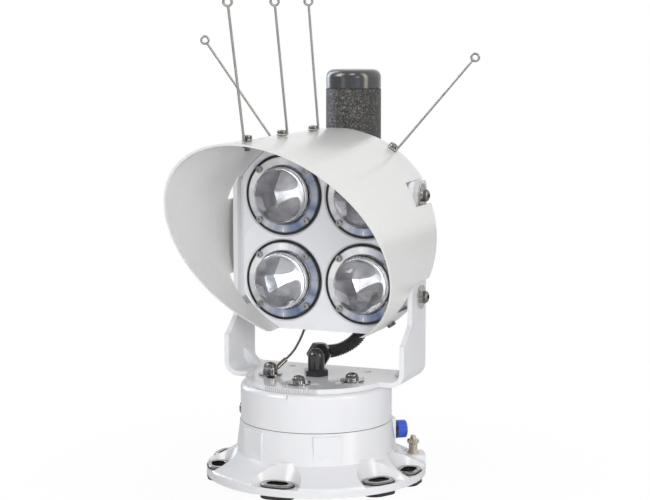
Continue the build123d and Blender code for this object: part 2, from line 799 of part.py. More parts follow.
def front_plate():
    """Front plate with four chamfered cell holes."""
    body = facing(head_outline(shell_r, head_half_w, head_bottom, corner_r), plate_y, plate_back_y)
    for x, z in cell_centres:
        hole = Plane(origin=(x, plate_back_y, z), z_dir=(0, -1, 0)) * Cylinder(
            cell_hole_r, plate_t, align=LOW)
        flare = Plane(origin=(x, plate_y + cell_chamfer, z), z_dir=(0, -1, 0)) * Cone(
            cell_hole_r, cell_hole_r + cell_chamfer, cell_chamfer, align=LOW)
        body -= hole
        body -= flare
    return body


def head_housing():
    """Deep shell behind the front plate."""
    outer = facing(head_outline(shell_r, head_half_w, shell_bottom, shell_corner_r),
                   plate_back_y, shell_back_y)
    inner = facing(head_outline(shell_r - shell_wall, head_half_w - shell_wall,
                                shell_bottom - shell_wall, shell_corner_r - shell_wall),
                   plate_back_y, shell_back_y)
    body = outer - inner
    end = conduit_route[-1]
    body -= Pos(end[0], end[1], 0) * rod(
        conduit_r + grommet_wall + thread_gap, head_floor_z, head_floor_z + shell_wall)
    anchor, along = anchor_place()
    anchor += along * anchor_l
    body -= Pos(anchor.X, anchor.Y, 0) * rod(
        screw_r + thread_gap, head_floor_z, head_floor_z + shell_wall)
    for a in hood_screw_angles:
        body -= hood_seat(a, hood_screw_y) * rod(screw_r + fit_gap, -shell_hole_deep, 0)
    for x, z in cover_screw_places():
        stub = Plane(origin=(x, shell_back_y - cover_boss_l, z), z_dir=(0, 1, 0))
        boss = stub * Cylinder(cover_boss_r, cover_boss_l, align=LOW)
        body += boss & outer
        body -= stub * Cylinder(cover_screw_r + thread_gap, cover_boss_l, align=LOW)
    for side in (-1, 1):
        for z in (pivot_z, lock_z):
            body -= Plane.YZ * Pos(pivot_y, z, side * head_half_w) * Cylinder(bolt_r, 4 * side_plate_t)
    return body


def cover_screw_places():
    """Where the rear cover is screwed down, just inside the housing's wall."""
    sunk = shell_wall + cover_boss_r - boss_bite
    r = shell_r - sunk
    arc = [(r * math.sin(math.radians(a)), hood_z + r * math.cos(math.radians(a)))
           for a in cover_screw_angles]
    x = head_half_w - sunk
    sides = [(s * x, lens_z + z) for s in (-1, 1) for z in cover_screw_rise]
    low = head_floor_z + sunk
    return arc + sides + [(s * cell_pitch / 2, low) for s in (-1, 0, 1)]


def cover_screws():
    """Pan-head screws round the rear cover."""
    head = rod(cover_head_r, 0, cover_head_h)
    head = fillet(head.edges().sort_by(Axis.Z)[-1], cross_w)
    head -= Pos(0, 0, cover_head_h - cross_deep) * Box(cross_w, cross_l, cover_head_h, align=LOW)
    head -= Pos(0, 0, cover_head_h - cross_deep) * Box(cross_l, cross_w, cover_head_h, align=LOW)
    screw = head + rod(cover_screw_r, 1.0 - cover_boss_l - rear_cover_t, 0)
    return [Plane(origin=(x, rear_face_y, z), x_dir=(1, 0, 0), z_dir=(0, 1, 0)) * screw
            for x, z in cover_screw_places()]


def side_plates():
    """Threaded plates on both sides that the tilt bolts screw into."""
    low, high = pivot_z - side_plate_under, lock_z + side_plate_over
    plates = []
    for side in (-1, 1):
        mid = side * (head_half_w + side_plate_x) / 2
        plate = Pos(mid, (plate_back_y + shell_back_y) / 2, (low + high) / 2) * Box(
            side_plate_x - head_half_w, shell_back_y - plate_back_y, high - low)
        plate = fillet(plate.edges().filter_by(Axis.X), shell_corner_r)
        for z in (pivot_z, lock_z):
            plate -= Plane.YZ * Pos(pivot_y, z, mid) * Cylinder(bolt_r, 4 * side_plate_t)
        plates.append(plate)
    return plates


def rear_cover():
    """Plate that closes the housing from behind."""
    body = facing(head_outline(shell_r, head_half_w, shell_bottom, shell_corner_r),
                  shell_back_y, rear_face_y)
    body = fillet(body.faces().sort_by(Axis.Y)[-1].edges(), rear_cover_t / 3)
    for x, z in cover_screw_places():
        body -= Pos(x, (shell_back_y + rear_face_y) / 2, z) * Rot(90, 0, 0) * Cylinder(
            cover_screw_r + fit_gap, 2 * rear_cover_t)
    return body


def at_cells(make):
    """One piece at each lens cell, made about the Y axis."""
    return [Pos(x, 0, z) * make() for x, z in cell_centres]


def round_y(profile):
    """Revolve a radius and depth profile about the Y axis."""
    return revolve(profile, Axis.Y)


def lens_gaskets():
    """Black seal between each cell and its hole."""
    def one():
        return round_y(make_face(Polyline(
            (gasket_in_r, plate_y + gasket_sunk), (gasket_out_r, plate_y + gasket_sunk),
            (gasket_out_r, plate_back_y), (gasket_in_r, plate_back_y), close=True)))
    return at_cells(one)


def lens_rings():
    """Clear clamp ring of each cell."""
    def one():
        back = ring_front_y + ring_t
        ring = round_y(make_face(Polyline(
            (ring_in_r, ring_front_y + ring_bevel), (ring_in_r + ring_bevel, ring_front_y),
            (ring_out_r - ring_bevel, ring_front_y), (ring_out_r, ring_front_y + ring_bevel),
            (ring_out_r, back), (ring_in_r, back), close=True)))
        for k in range(4):
            a = ring_screw_deg + 90 * k
            ring -= Rot(0, a, 0) * Pos(ring_screw_circle_r, 0, 0) * Rot(-90, 0, 0) * rod(
                ring_screw_r + fit_gap, ring_front_y, back)
        return ring
    return at_cells(one)


def lenses():
    """Aspheric condenser lens with a flange behind the clamp ring."""
    def one():
        seat = ring_front_y + ring_t + fit_gap / 2
        edge = seat - lens_edge_t
        dome = EllipticalCenterArc((0, edge), dome_r, dome_h, start_angle=-90, arc_size=90)
        rest = Polyline((dome_r, edge), (dome_r, seat), (lens_flange_r, seat),
                        (lens_flange_r, seat + lens_flange_t), (0, seat + lens_flange_t),
                        (0, edge - dome_h))
        return round_y(make_face(dome + rest))
    return at_cells(one)


def ring_screws():
    """Four socket screws in each clamp ring."""
    def one():
        head = rod(ring_screw_head_r, 0, ring_screw_head_h)
        head = fillet(head.edges().sort_by(Axis.Z)[-1], ring_screw_head_h / 4)
        head -= Pos(0, 0, ring_screw_head_h / 2) * extrude(
            RegularPolygon(ring_socket_r, 6), ring_screw_head_h / 2)
        screw = head + rod(ring_screw_r, -ring_screw_l, 0)
        return [Rot(0, ring_screw_deg + 90 * k, 0) * Pos(ring_screw_circle_r, ring_front_y, 0)
                * Rot(90, 0, 0) * screw for k in range(4)]
    return [Pos(x, 0, z) * s for x, z in cell_centres for s in one()]


def cell_cups():
    """Metal cup of each cell, with a polished cone down to its board."""
    def one():
        front = ring_front_y + ring_t + fit_gap
        lip = front + cup_lip
        cup = round_y(make_face(Polyline(
            (lens_flange_r + fit_gap, front), (ring_out_r, front), (ring_out_r, plate_back_y),
            (cell_hole_r + cup_flange_lap, plate_back_y),
            (cell_hole_r + cup_flange_lap, plate_back_y + cup_flange_t),
            (ring_out_r, plate_back_y + cup_flange_t), (ring_out_r - cup_taper, led_board_y - fit_gap),
            (led_board_r - cup_lip, led_board_y - fit_gap), (lens_flange_r - cup_lip, lip),
            (lens_flange_r + fit_gap, lip), close=True)))
        for k in range(4):
            a = ring_screw_deg + 90 * k
            cup -= Rot(0, a, 0) * Pos(ring_screw_circle_r, 0, 0) * Rot(-90, 0, 0) * rod(
                ring_screw_r + thread_gap, front, ring_front_y + ring_screw_l + fit_gap)
        return cup
    room = facing(head_outline(shell_r - shell_wall - fit_gap, head_half_w - shell_wall - fit_gap,
                               shell_bottom - shell_wall - fit_gap, shell_corner_r),
                  ring_front_y, shell_back_y)
    return [cup & room for cup in at_cells(one)]


def led_boards():
    """Round board with its emitter behind each lens."""
    def one():
        board = Plane(origin=(0, led_board_y + board_t, 0), z_dir=(0, -1, 0)) * Cylinder(
            led_board_r, board_t, align=LOW)
        return board + Pos(0, led_board_y - led_chip_t / 2, 0) * Box(led_chip, led_chip_t, led_chip)
    return at_cells(one)


def heat_sink():
    """Finned plate that carries the four boards."""
    y = led_board_y + board_t
    body = facing(head_outline(sink_r, sink_half_w, sink_bottom, shell_corner_r), y, y + sink_t)
    count = int((sink_half_w - fin_t) / fin_pitch)
    for k in range(-count, count + 1):
        body += Pos(k * fin_pitch, y + sink_t + fin_h / 2, lens_z) * Box(
            fin_t, fin_h, 2 * (sink_bottom - fin_inset))
    return body


def tilt_bolt(side, height, part):
    """Place a piece of the bolt stack on one arm, pointing outwards."""
    plane = Plane(origin=(side * (arm_out_x + side_gap), pivot_y, height), x_dir=(0, 1, 0),
                  z_dir=(side, 0, 0))
    return plane * part


def at_tilt_bolts(part, heights):
    return [tilt_bolt(side, z, part) for z in heights for side in (-1, 1)]


def tilt_bolts(height):
    seat = washer_t + spring_washer_t
    shank = seat + side_gap + sheet_t + side_gap + side_plate_t + shell_wall + thread_over
    return at_tilt_bolts(Pos(0, 0, seat) * bolt(shank), (height,))


def tilt_washers():
    return at_tilt_bolts(tube(washer_r, bolt_r + fit_gap, 0, washer_t), (pivot_z, lock_z))


def tilt_spring_washers():
    return at_tilt_bolts(Pos(0, 0, washer_t) * spring_washer(), (pivot_z, lock_z))


def hood():
    """Raked tubular hood, open below, cut for the bracket's arms."""
    front_y = rake_at_lens_y - rake_slope * (hood_up + 2 * hood_r)
    shell = facing(Pos(0, hood_z) * (Circle(hood_r) - Circle(hood_in_r)), front_y, hood_back_y)
    top, low = lens_z + 2 * hood_r, lens_z - 2 * hood_r
    rim = make_face(Polyline(
        (rake_at_lens_y - rake_slope * (top - lens_z), top),
        (rake_at_lens_y - rake_slope * (low - lens_z), low),
        (front_y - 3 * hood_r, low), (front_y - 3 * hood_r, top), close=True))
    shell -= extrude(Plane.YZ * rim, 2 * hood_r, both=True)
    shell -= Pos(0, 0, lens_z - head_bottom - hood_r) * Box(
        4 * hood_r, 8 * hood_r, 2 * hood_r)
    back = hood_back_y + hood_short
    for low_z, high_z in ((lock_z - window_under, lock_z + window_over),
                          (pivot_z - notch_under, pivot_z + notch_over)):
        opening = Box(4 * hood_r, back - window_front_y, high_z - low_z)
        opening = fillet(opening.edges().filter_by(Axis.X), window_r)
        inner = Box(2 * (hood_r - window_reach), 4 * hood_r, 4 * hood_r)
        place = Pos(0, (back + window_front_y) / 2, (low_z + high_z) / 2)
        shell -= place * opening - Pos(0, 0, lens_z) * inner
    shell -= Pos(0, hood_back_y, hood_z + hood_r) * Box(
        rear_notch_w, 2 * rear_notch_deep, hood_r / 4)
    for place in hood_screw_places():
        shell -= place * rod(screw_r + fit_gap, -hood_screw_l, hood_screw_l)
    return shell


def hood_seat(angle, y):
    """Frame on the hood's outer face, its Z along the outward normal."""
    a = math.radians(angle)
    n = Vector(math.sin(a), 0, math.cos(a))
    return Plane(origin=(n.X * hood_r, y, hood_z + n.Z * hood_r), x_dir=(0, 1, 0), z_dir=n)


def hood_screw_places():
    """Every M5 screw through the hood: three on the ridge, four into the housing."""
    ridge = [hood_seat(0, y) for y in spike_front_y]
    return ridge + [hood_seat(a, hood_screw_y) for a in hood_screw_angles]


def spike_places():
    """Seat, lean and foot direction of each spike: three on the ridge, one at each side."""
    turns = [(0, -math.sin(math.radians(t)), math.cos(math.radians(t))) for t in spike_front_lean]
    ridge = [(hood_seat(0, y), lean, foot)
             for y, lean, foot in zip(spike_front_y, turns, spike_front_foot)]
    sides = [(hood_seat(a, hood_screw_y), lean, lean)
             for a, lean in zip(hood_screw_angles, spike_side_lean)]
    return ridge + sides


def bird_spikes():
    """Bent wire spikes: a loop under the screw, a long leg and an eye at the tip."""
    spikes = []
    knee_r, bent_r = spike_wire_r + spike_lift, spike_wire_r + spike_swell
    for seat, lean, foot in spike_places():
        lean, n = Vector(*lean).normalized(), seat.z_dir
        centre = seat.origin + n * knee_r
        out = Vector(*foot)
        out = (out - n * out.dot(n)).normalized()
        knee = centre + out * spike_reach
        loop = Plane(origin=centre, z_dir=n) * Torus(spike_loop_r, bent_r)
        run = Plane(origin=centre + out * spike_loop_r, z_dir=out) * Cylinder(
            spike_wire_r, spike_reach - spike_loop_r, align=LOW)
        leg = Plane(origin=knee, z_dir=lean) * Cylinder(spike_wire_r, spike_l, align=LOW)
        eye_at = knee + lean * (spike_l + spike_eye_r)
        across = lean.cross(Vector(*eye_faces)).normalized()
        eye = Plane(origin=eye_at, x_dir=lean, z_dir=across.cross(lean)) * Torus(
            spike_eye_r, bent_r)
        spikes.append(loop + run + Pos(knee) * Sphere(knee_r) + leg + eye)
    return spikes


def hood_screws():
    """M5 button screws through the spikes' loops and the hood."""
    head = rod(screw_head_r, 0, screw_head_h)
    head = fillet(head.edges().sort_by(Axis.Z)[-1], screw_head_h * 0.46)
    head -= Pos(0, 0, screw_head_h / 2) * extrude(RegularPolygon(ring_socket_r, 6), screw_head_h / 2)
    screws = []
    plain = [hood_seat(a, hood_screw_y) for a in hood_screw_angles[2:]]
    lift = 2 * spike_wire_r + 2 * spike_lift
    for seat, _, _ in spike_places():
        screws.append(seat * Pos(0, 0, lift) * (head + rod(screw_r, -(lift + hood_screw_l), 0)))
    for seat in plain:
        screws.append(seat * (head + rod(screw_r, -hood_screw_l, 0)))
    return screws


def hood_nuts():
    """M5 nuts, under the hood on the ridge and inside the housing's wall elsewhere."""
    nuts = []
    nut = extrude(RegularPolygon(nut_af / 2, 6, major_radius=False), nut_t)
    nut -= Cylinder(screw_r + thread_gap, 4 * nut_t)
    for y in spike_front_y:
        nuts.append(hood_seat(0, y) * Pos(0, 0, -hood_t - nut_gap - nut_t) * nut)
    inside = hood_r - (shell_r - shell_wall) + nut_gap
    for a in hood_screw_angles:
        nuts.append(hood_seat(a, hood_screw_y) * Pos(0, 0, -inside - nut_t) * nut)
    return nuts


def conduit_grommet():
    """Grommet round the conduit in the head's floor."""
    end = conduit_route[-1]
    low, hole = head_floor_z - grommet_t, conduit_r + conduit_play
    ring = tube(conduit_r + grommet_wall, hole, low, head_floor_z + shell_wall)
    ring += tube(conduit_r + grommet_lip, hole, low, head_floor_z)
    return Pos(end[0], end[1], 0) * ring


def anchor_place():
    """Foot of the lanyard's anchor under the head's floor, and the rope's last direction."""
    end, before = Vector(*lanyard_route[-1]), Vector(*lanyard_route[-2])
    return end, (end - before).normalized()


def lanyard_anchor():
    """Upper ferrule of the lanyard on a screwed lug under the head's floor."""
    end, along = anchor_place()
    top = end + along * anchor_l
    sleeve = Plane(origin=end, z_dir=along) * Cylinder(ferrule_r, anchor_l, align=LOW)
    lug = Pos(top.X, top.Y, 0) * rod(lug_r, head_floor_z - lug_t, head_floor_z)
    shank = Pos(top.X, top.Y, 0) * rod(screw_r, head_floor_z, head_floor_z + 2 * lug_t)
    return sleeve + lug + shank


def antenna_tube():
    """Closed tube of the antenna, with a lip for its cap."""
    body = Pos(0, antenna_y, 0) * rod(
        antenna_r, antenna_bottom_z, antenna_split_z - antenna_lip)
    body = fillet(body.edges().sort_by(Axis.Z)[0], antenna_wall)
    body += Pos(0, antenna_y, 0) * rod(
        antenna_r - antenna_lip, antenna_split_z - antenna_lip, antenna_split_z)
    return body - Pos(0, antenna_y, 0) * rod(
        antenna_r - antenna_wall, antenna_bottom_z + antenna_wall, antenna_split_z)


def antenna_cap():
    """Rounded cap of the antenna tube."""
    cap = Pos(0, antenna_y, 0) * rod(antenna_r - fit_gap, antenna_split_z, antenna_top_z)
    cap = fillet(cap.edges().sort_by(Axis.Z)[-1], antenna_round)
    return cap - Pos(0, antenna_y, 0) * rod(
        antenna_r - antenna_wall, antenna_split_z, antenna_top_z - cap_roof)


def antenna_board():
    """Radio board standing in the tube."""
    low = antenna_bottom_z + antenna_wall
    wide = 2 * (antenna_r - antenna_wall) - radio_board_trim
    return Pos(0, antenna_y, low) * Box(wide, board_t, radio_board_l, align=LOW)


def antenna_shelf():
    """Bent shelf on the rear cover that the antenna tube stands on."""
    z = antenna_bottom_z
    far = antenna_y + antenna_r * 0.7
    outline = make_face(Polyline(
        (rear_face_y, z), (far, z), (far, z - shelf_t), (rear_face_y + shelf_t, z - shelf_t),
        (rear_face_y + shelf_t, z - shelf_drop), (rear_face_y, z - shelf_drop), close=True))
    body = extrude(Plane.YZ * outline, shelf_w / 2, both=True)
    web = make_face(Polyline(
        (rear_face_y + shelf_t, z - shelf_t), (far - 8, z - shelf_t),
        (rear_face_y + shelf_t, z - shelf_drop + 4), close=True))
    for side in (-1, 1):
        body += Pos(side * (shelf_w / 2 - 1.5), 0, 0) * extrude(Plane.YZ * web, 1.5, both=True)
    return body


def shelf_screws():
    """Screws through the shelf into the tube's floor and the rear cover."""
    head = rod(screw_head_r, 0, screw_head_h) + rod(screw_r, -7.0, 0)
    below = antenna_bottom_z - shelf_t
    screws = [Plane(origin=(x, antenna_y, below), z_dir=(0, 0, -1)) * head for x in (-11, 11)]
    for x in (-12, 12):
        back = Plane(origin=(x, rear_face_y + shelf_t, antenna_bottom_z - 24.0), z_dir=(0, 1, 0))
        screws.append(back * head)
    return screws


def screw_holes(part, screws):
    """Cut the given screws' shanks out of a piece."""
    for s in screws:
        part -= s
    return part


def node_shapes():
    """Every sub-part by its node name."""
    screws = shelf_screws()
    shelf = screw_holes(antenna_shelf(), screws)
    tube_body = screw_holes(antenna_tube(), screws)
    cover = screw_holes(rear_cover(), screws)
    return {
        "base_casting": base_casting(),
        "base_cover": base_cover(),
        "base_gasket": tube(cover_r, post_circle_r + post_r + fit_gap, cover_z + cover_t,
                            cover_z + cover_t + seam_t),
        "joint_screws": joint_screws(),
        "drum_housing": drum_housing(),
        "drum_seal": tube(drum_r - 0.8, post_circle_r + post_r + fit_gap, seam_z, seam_z + seam_t),
        "lower_bushes": lower_bushes(),
        "upper_bushes": upper_bushes(),
        "slot_washers": slot_washers(),
        "connector_collar": connector_collar(),
        "connector_cap": connector_cap(),
        "vent_plug": vent_plug(),
        "earth_stud": earth_stud(),
        "earth_nut": earth_nut(),
        "board_pillars": board_pillars(),
        "power_board": power_board(),
        "terminal_block": terminal_block(),
        "azimuth_bolts": azimuth_bolts(),
        "azimuth_washers": azimuth_washers(),
        "azimuth_spring_washers": azimuth_spring_washers(),
        "elbow_base": elbow_base(),
        "elbow_locknut": elbow_locknut(),
        "lanyard_eye": lanyard_eye(),
        "yoke_bracket": yoke_bracket(),
        "elbow_body": elbow_body(),
        "elbow_nut": elbow_nut(),
        "conduit": conduit(),
        "lanyard": lanyard(),
        "front_plate": front_plate(),
        "head_housing": head_housing(),
        "side_plates": side_plates(),
        "rear_cover": cover,
        "lens_gaskets": lens_gaskets(),
        "lens_rings": lens_rings(),
        "lenses": lenses(),
        "ring_screws": ring_screws(),
        "cell_cups": cell_cups(),
        "led_boards": led_boards(),
        "heat_sink": heat_sink(),
        "tilt_pivot_bolts": tilt_bolts(pivot_z),
        "tilt_lock_bolts": tilt_bolts(lock_z),
        "tilt_washers": tilt_washers(),
        "tilt_spring_washers": tilt_spring_washers(),
        "hood": hood(),
        "cover_screws": cover_screws(),
        "hood_screws": hood_screws(),
        "hood_nuts": hood_nuts(),
        "bird_spikes": bird_spikes(),
        "conduit_grommet": conduit_grommet(),
        "lanyard_anchor": lanyard_anchor(),
        "antenna_tube": tube_body,
        "antenna_cap": antenna_cap(),
        "antenna_board": antenna_board(),
        "antenna_shelf": shelf,
        "shelf_screws": screws,
    }


def write_parts():
    """Write one STEP file for each node."""
    os.makedirs("parts", exist_ok=True)
    for name, shape in node_shapes().items():
        solids = []
        for piece in shape if isinstance(shape, list) else [shape]:
            solids += piece.solids()
        whole = solids[0] if len(solids) == 1 else Compound(children=solids)
        export_step(whole, os.path.join("parts", name + ".step"))


write_parts()
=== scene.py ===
import math
import bpy
import numpy as np
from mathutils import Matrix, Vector


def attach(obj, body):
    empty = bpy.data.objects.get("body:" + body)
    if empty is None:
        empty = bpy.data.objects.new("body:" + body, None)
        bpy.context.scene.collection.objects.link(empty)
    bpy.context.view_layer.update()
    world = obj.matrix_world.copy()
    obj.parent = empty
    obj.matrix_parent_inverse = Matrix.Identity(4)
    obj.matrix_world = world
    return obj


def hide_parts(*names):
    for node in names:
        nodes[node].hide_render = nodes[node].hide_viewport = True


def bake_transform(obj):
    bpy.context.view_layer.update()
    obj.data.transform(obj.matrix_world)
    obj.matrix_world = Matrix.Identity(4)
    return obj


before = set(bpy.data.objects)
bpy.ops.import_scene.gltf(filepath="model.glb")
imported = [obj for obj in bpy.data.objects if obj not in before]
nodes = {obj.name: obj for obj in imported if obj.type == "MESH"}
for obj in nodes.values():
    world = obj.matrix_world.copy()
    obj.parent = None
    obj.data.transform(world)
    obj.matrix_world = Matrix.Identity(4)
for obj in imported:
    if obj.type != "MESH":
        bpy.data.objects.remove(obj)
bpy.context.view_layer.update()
mm = 0.001
lensZ = 239.7      # height of the middle between the four lenses, in millimetres
cellHalf = 44.0    # half the distance from lens to lens, in millimetres


# meshes, rings and paths

def inward(mesh):
    # a closed shell whose tetrahedra to the origin add up below zero has its faces turned inwards
    mesh.calc_loop_triangles()
    places = np.empty(len(mesh.vertices) * 3)
    corners = np.empty(len(mesh.loop_triangles) * 3, np.int32)
    mesh.vertices.foreach_get("co", places)
    mesh.loop_triangles.foreach_get("vertices", corners)
    a, b, c = places.reshape(-1, 3)[corners].reshape(-1, 3, 3).transpose(1, 0, 2)
    return float(np.einsum("ij,ij->", a, np.cross(b, c))) < 0.0


def newMesh(name, verts, faces, body, material, smooth=True):
    # object at the origin, with its faces outwards, on a body of the frame and in a slot
    mesh = bpy.data.meshes.new(name)
    mesh.from_pydata(np.asarray(verts, float).reshape(-1, 3).tolist(), [], faces)
    mesh.update()
    if inward(mesh):
        mesh.flip_normals()
    piece = bpy.data.objects.new(name, mesh)
    bpy.context.scene.collection.objects.link(piece)
    mesh.materials.append(material)
    if smooth:
        mesh.polygons.foreach_set("use_smooth", [True] * len(mesh.polygons))
    if body:
        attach(piece, body)
    return piece


def gridFaces(rows, cols, closed=True, start=0):
    # a face between each point of a grid and its neighbours; closed rows are rings
    r, c = np.meshgrid(np.arange(rows - 1), np.arange(cols if closed else cols - 1), indexing="ij")
    a = start + r * cols + c
    b = start + r * cols + (c + 1) % cols
    return np.stack([a, b, b + cols, a + cols], -1).reshape(-1, 4).tolist()


def endCaps(rows, around):
    # triangles from two end points, which come after the rings' points, to the first and last ring
    here = np.arange(around)
    there = (here + 1) % around
    last = (rows - 1) * around
    first = np.stack([np.full(around, rows * around), there, here], -1)
    second = np.stack([np.full(around, rows * around + 1), last + here, last + there], -1)
    return np.concatenate([first, second])


def splineLine(points, samples):
    # quadratic curve from the first point to the last, drawn towards the points between, in metres
    curve = bpy.data.curves.new("route", "CURVE")
    curve.dimensions = "3D"
    curve.resolution_u = samples
    spline = curve.splines.new("NURBS")
    spline.points.add(len(points) - 1)
    spline.points.foreach_set("co", np.c_[np.array(points) * mm, np.ones(len(points))].ravel())
    spline.order_u = 3
    spline.use_endpoint_u = True
    holder = bpy.data.objects.new("route", curve)
    bpy.context.scene.collection.objects.link(holder)
    bpy.context.view_layer.update()
    line = bpy.data.meshes.new_from_object(holder)
    path = np.empty(len(line.vertices) * 3)
    line.vertices.foreach_get("co", path)
    bpy.data.objects.remove(holder)
    return path.reshape(-1, 3)


def evenly(path, count):
    # points at equal steps along a path, and how far along it each one lies
    steps = np.r_[0, np.cumsum(np.linalg.norm(np.diff(path, axis=0), axis=1))]
    at = np.linspace(0, steps[-1], count)
    return np.stack([np.interp(at, steps, path[:, k]) for k in range(3)], 1), at


def turnFrames(path):
    # each side is the one before, less its part along the path, so that the frames don't twist
    along = np.gradient(path, axis=0)
    along /= np.linalg.norm(along, axis=1)[:, None]
    side = np.cross(along[0], (0.0, 0.0, 1.0))
    sides = []
    for t in along:
        side = side - t * (side @ t)
        side /= np.linalg.norm(side)
        sides.append(side)
    sides = np.array(sides)
    return sides, np.cross(along, sides), along


def tubeMesh(path, radii, around, start=0):
    # circle carried along the path in frames that don't twist, with a point at each end to close it
    sides, ups, _ = turnFrames(path)
    a = np.linspace(0, 2 * math.pi, around, endpoint=False)
    ring = np.cos(a)[None, :, None] * sides[:, None] + np.sin(a)[None, :, None] * ups[:, None]
    rings = path[:, None] + ring * np.broadcast_to(radii, len(path))[:, None, None]
    verts = np.concatenate([rings.reshape(-1, 3), path[:1], path[-1:]])
    caps = (start + endCaps(len(path), around)).tolist()
    return verts, gridFaces(len(path), around, start=start) + caps


def turnedMesh(profile, centres, around, start=0):
    # closed profile (distance from the axis, place along Y) carried round the axis of each centre
    a = np.linspace(0, 2 * math.pi, around, endpoint=False)
    rows = np.asarray(profile, float)
    inner = rows[1:-1]
    ring = np.stack([np.cos(a), np.zeros(around), np.sin(a)], -1)
    one = inner[:, None, :1] * ring[None] + inner[:, None, 1:] * np.array([0.0, 1.0, 0.0])
    one = np.concatenate([one.reshape(-1, 3), [[0, rows[0, 1], 0], [0, rows[-1, 1], 0]]])
    quads = np.array(gridFaces(len(inner), around))[:, ::-1]
    caps = endCaps(len(inner), around)[:, [0, 2, 1]]
    verts, faces = [], []
    for x, z in centres:
        verts.append(one + np.array([x, 0.0, z]))
        faces += (start + quads).tolist() + (start + caps).tolist()
        start += len(one)
    return np.concatenate(verts) * mm, faces


# shader nodes, and the groups that several materials share

def nodeGroup(name, inputs, outputs):
    # an empty group with its sockets, and its first and last node
    group = bpy.data.node_groups.new(name, "ShaderNodeTree")
    for label, kind, value in inputs:
        socket = group.interface.new_socket(label, in_out="INPUT", socket_type=kind)
        socket.default_value = value
    for label, kind in outputs:
        group.interface.new_socket(label, in_out="OUTPUT", socket_type=kind)
    return group, group.nodes.new("NodeGroupInput"), group.nodes.new("NodeGroupOutput")


def addNode(tree, kind, inputs=(), **settings):
    # each input takes a link where it is given a socket, and a plain value otherwise
    made = tree.nodes.new(kind)
    for key, value in settings.items():
        setattr(made, key, value)
    for key, value in dict(inputs).items():
        if isinstance(value, bpy.types.NodeSocket):
            tree.links.new(value, made.inputs[key])
        else:
            made.inputs[key].default_value = value
    return made


def objectPlace(tree):
    # place in the object's own axes, in metres
    return addNode(tree, "ShaderNodeTexCoord").outputs["Object"]


def calc(tree, operation, *values, clamp=False):
    # arithmetic on sockets and plain numbers
    made = addNode(tree, "ShaderNodeMath", dict(enumerate(values)), operation=operation, use_clamp=clamp)
    return made.outputs[0]


def calcVector(tree, operation, *values, **named):
    # the same on vectors
    made = addNode(tree, "ShaderNodeVectorMath", dict(enumerate(values)) | named, operation=operation)
    return made.outputs["Value" if operation in ("LENGTH", "DOT_PRODUCT") else "Vector"]


def noise(tree, vector, scale, detail=2.0, roughness=0.5, distortion=0.0):
    # smooth noise between nought and one
    made = addNode(tree, "ShaderNodeTexNoise", {"Vector": vector, "Scale": scale, "Detail": detail,
                                                "Roughness": roughness, "Distortion": distortion})
    return made.outputs["Fac"]


def ramp(tree, value, span, ends=(0.0, 1.0), curve="LINEAR"):
    # carries a span of the value to two end values, and holds them beyond it
    made = addNode(tree, "ShaderNodeMapRange", {"Value": value, "From Min": span[0], "From Max": span[1],
                                                "To Min": ends[0], "To Max": ends[1]},
                   interpolation_type=curve)
    return made.outputs["Result"]


def mixColour(tree, factor, first, second):
    # the first colour at a factor of nought, the second at one
    return addNode(tree, "ShaderNodeMix", {0: factor, 6: first, 7: second}, data_type="RGBA").outputs[2]


def bump(tree, height, distance, under=None, invert=False):
    # normal tilted by the slope of the height, on top of another normal where there is one
    below = {} if under is None else {"Normal": under}
    made = addNode(tree, "ShaderNodeBump", {"Height": height, "Distance": distance} | below, invert=invert)
    return made.outputs["Normal"]


patchSpan = (0.2, 0.8)    # part of the patch noise that takes the gloss from smooth to rough


def grainGroup():
    # two noises, one on the other, tilt the normal; a third in wide patches mixes two tones and two
    # levels of gloss
    group, start, end = nodeGroup(
        "SurfaceGrain",
        [("Scale", "NodeSocketFloat", 400.0), ("Height", "NodeSocketFloat", 0.0001),
         ("Fine Scale", "NodeSocketFloat", 2500.0), ("Fine Height", "NodeSocketFloat", 0.00002),
         ("Dark", "NodeSocketColor", (0.7, 0.7, 0.7, 1)), ("Light", "NodeSocketColor", (0.8, 0.8, 0.8, 1)),
         ("Smooth", "NodeSocketFloat", 0.3), ("Rough", "NodeSocketFloat", 0.4),
         ("Patch Scale", "NodeSocketFloat", 9.0)],
        [("Color", "NodeSocketColor"), ("Roughness", "NodeSocketFloat"), ("Normal", "NodeSocketVector")])
    place = objectPlace(group)
    coarse = noise(group, place, start.outputs["Scale"], detail=3.0)
    fine = noise(group, place, start.outputs["Fine Scale"])
    patch = noise(group, place, start.outputs["Patch Scale"])
    colour = mixColour(group, patch, start.outputs["Dark"], start.outputs["Light"])
    rough = ramp(group, patch, patchSpan, (start.outputs["Smooth"], start.outputs["Rough"]))
    first = bump(group, coarse, start.outputs["Height"])
    second = bump(group, fine, start.outputs["Fine Height"], first)
    group.links.new(colour, end.inputs["Color"])
    group.links.new(rough, end.inputs["Roughness"])
    group.links.new(second, end.inputs["Normal"])
    return group


def cellOffset(group, distance):
    # distance from the head's middle less half the lenses' spacing, on whichever side it lies
    middle = calc(group, "MULTIPLY", calc(group, "SIGN", distance), cellHalf * mm)
    return calc(group, "SUBTRACT", distance, middle)


# painted sheen on the clamp rings: streaks round the turn and one side painted lighter, standing in for the
# highlights of brushed metal
paintedSheen = {
    "scale": 1.7, "detail": 4.0, "roughness": 0.55, "span": (0.36, 0.62),    # noise round the turn
    "share": 0.45, "level": 0.32, "shine": (-0.36, 0.24, 0.0),               # its share, and the lit side
}


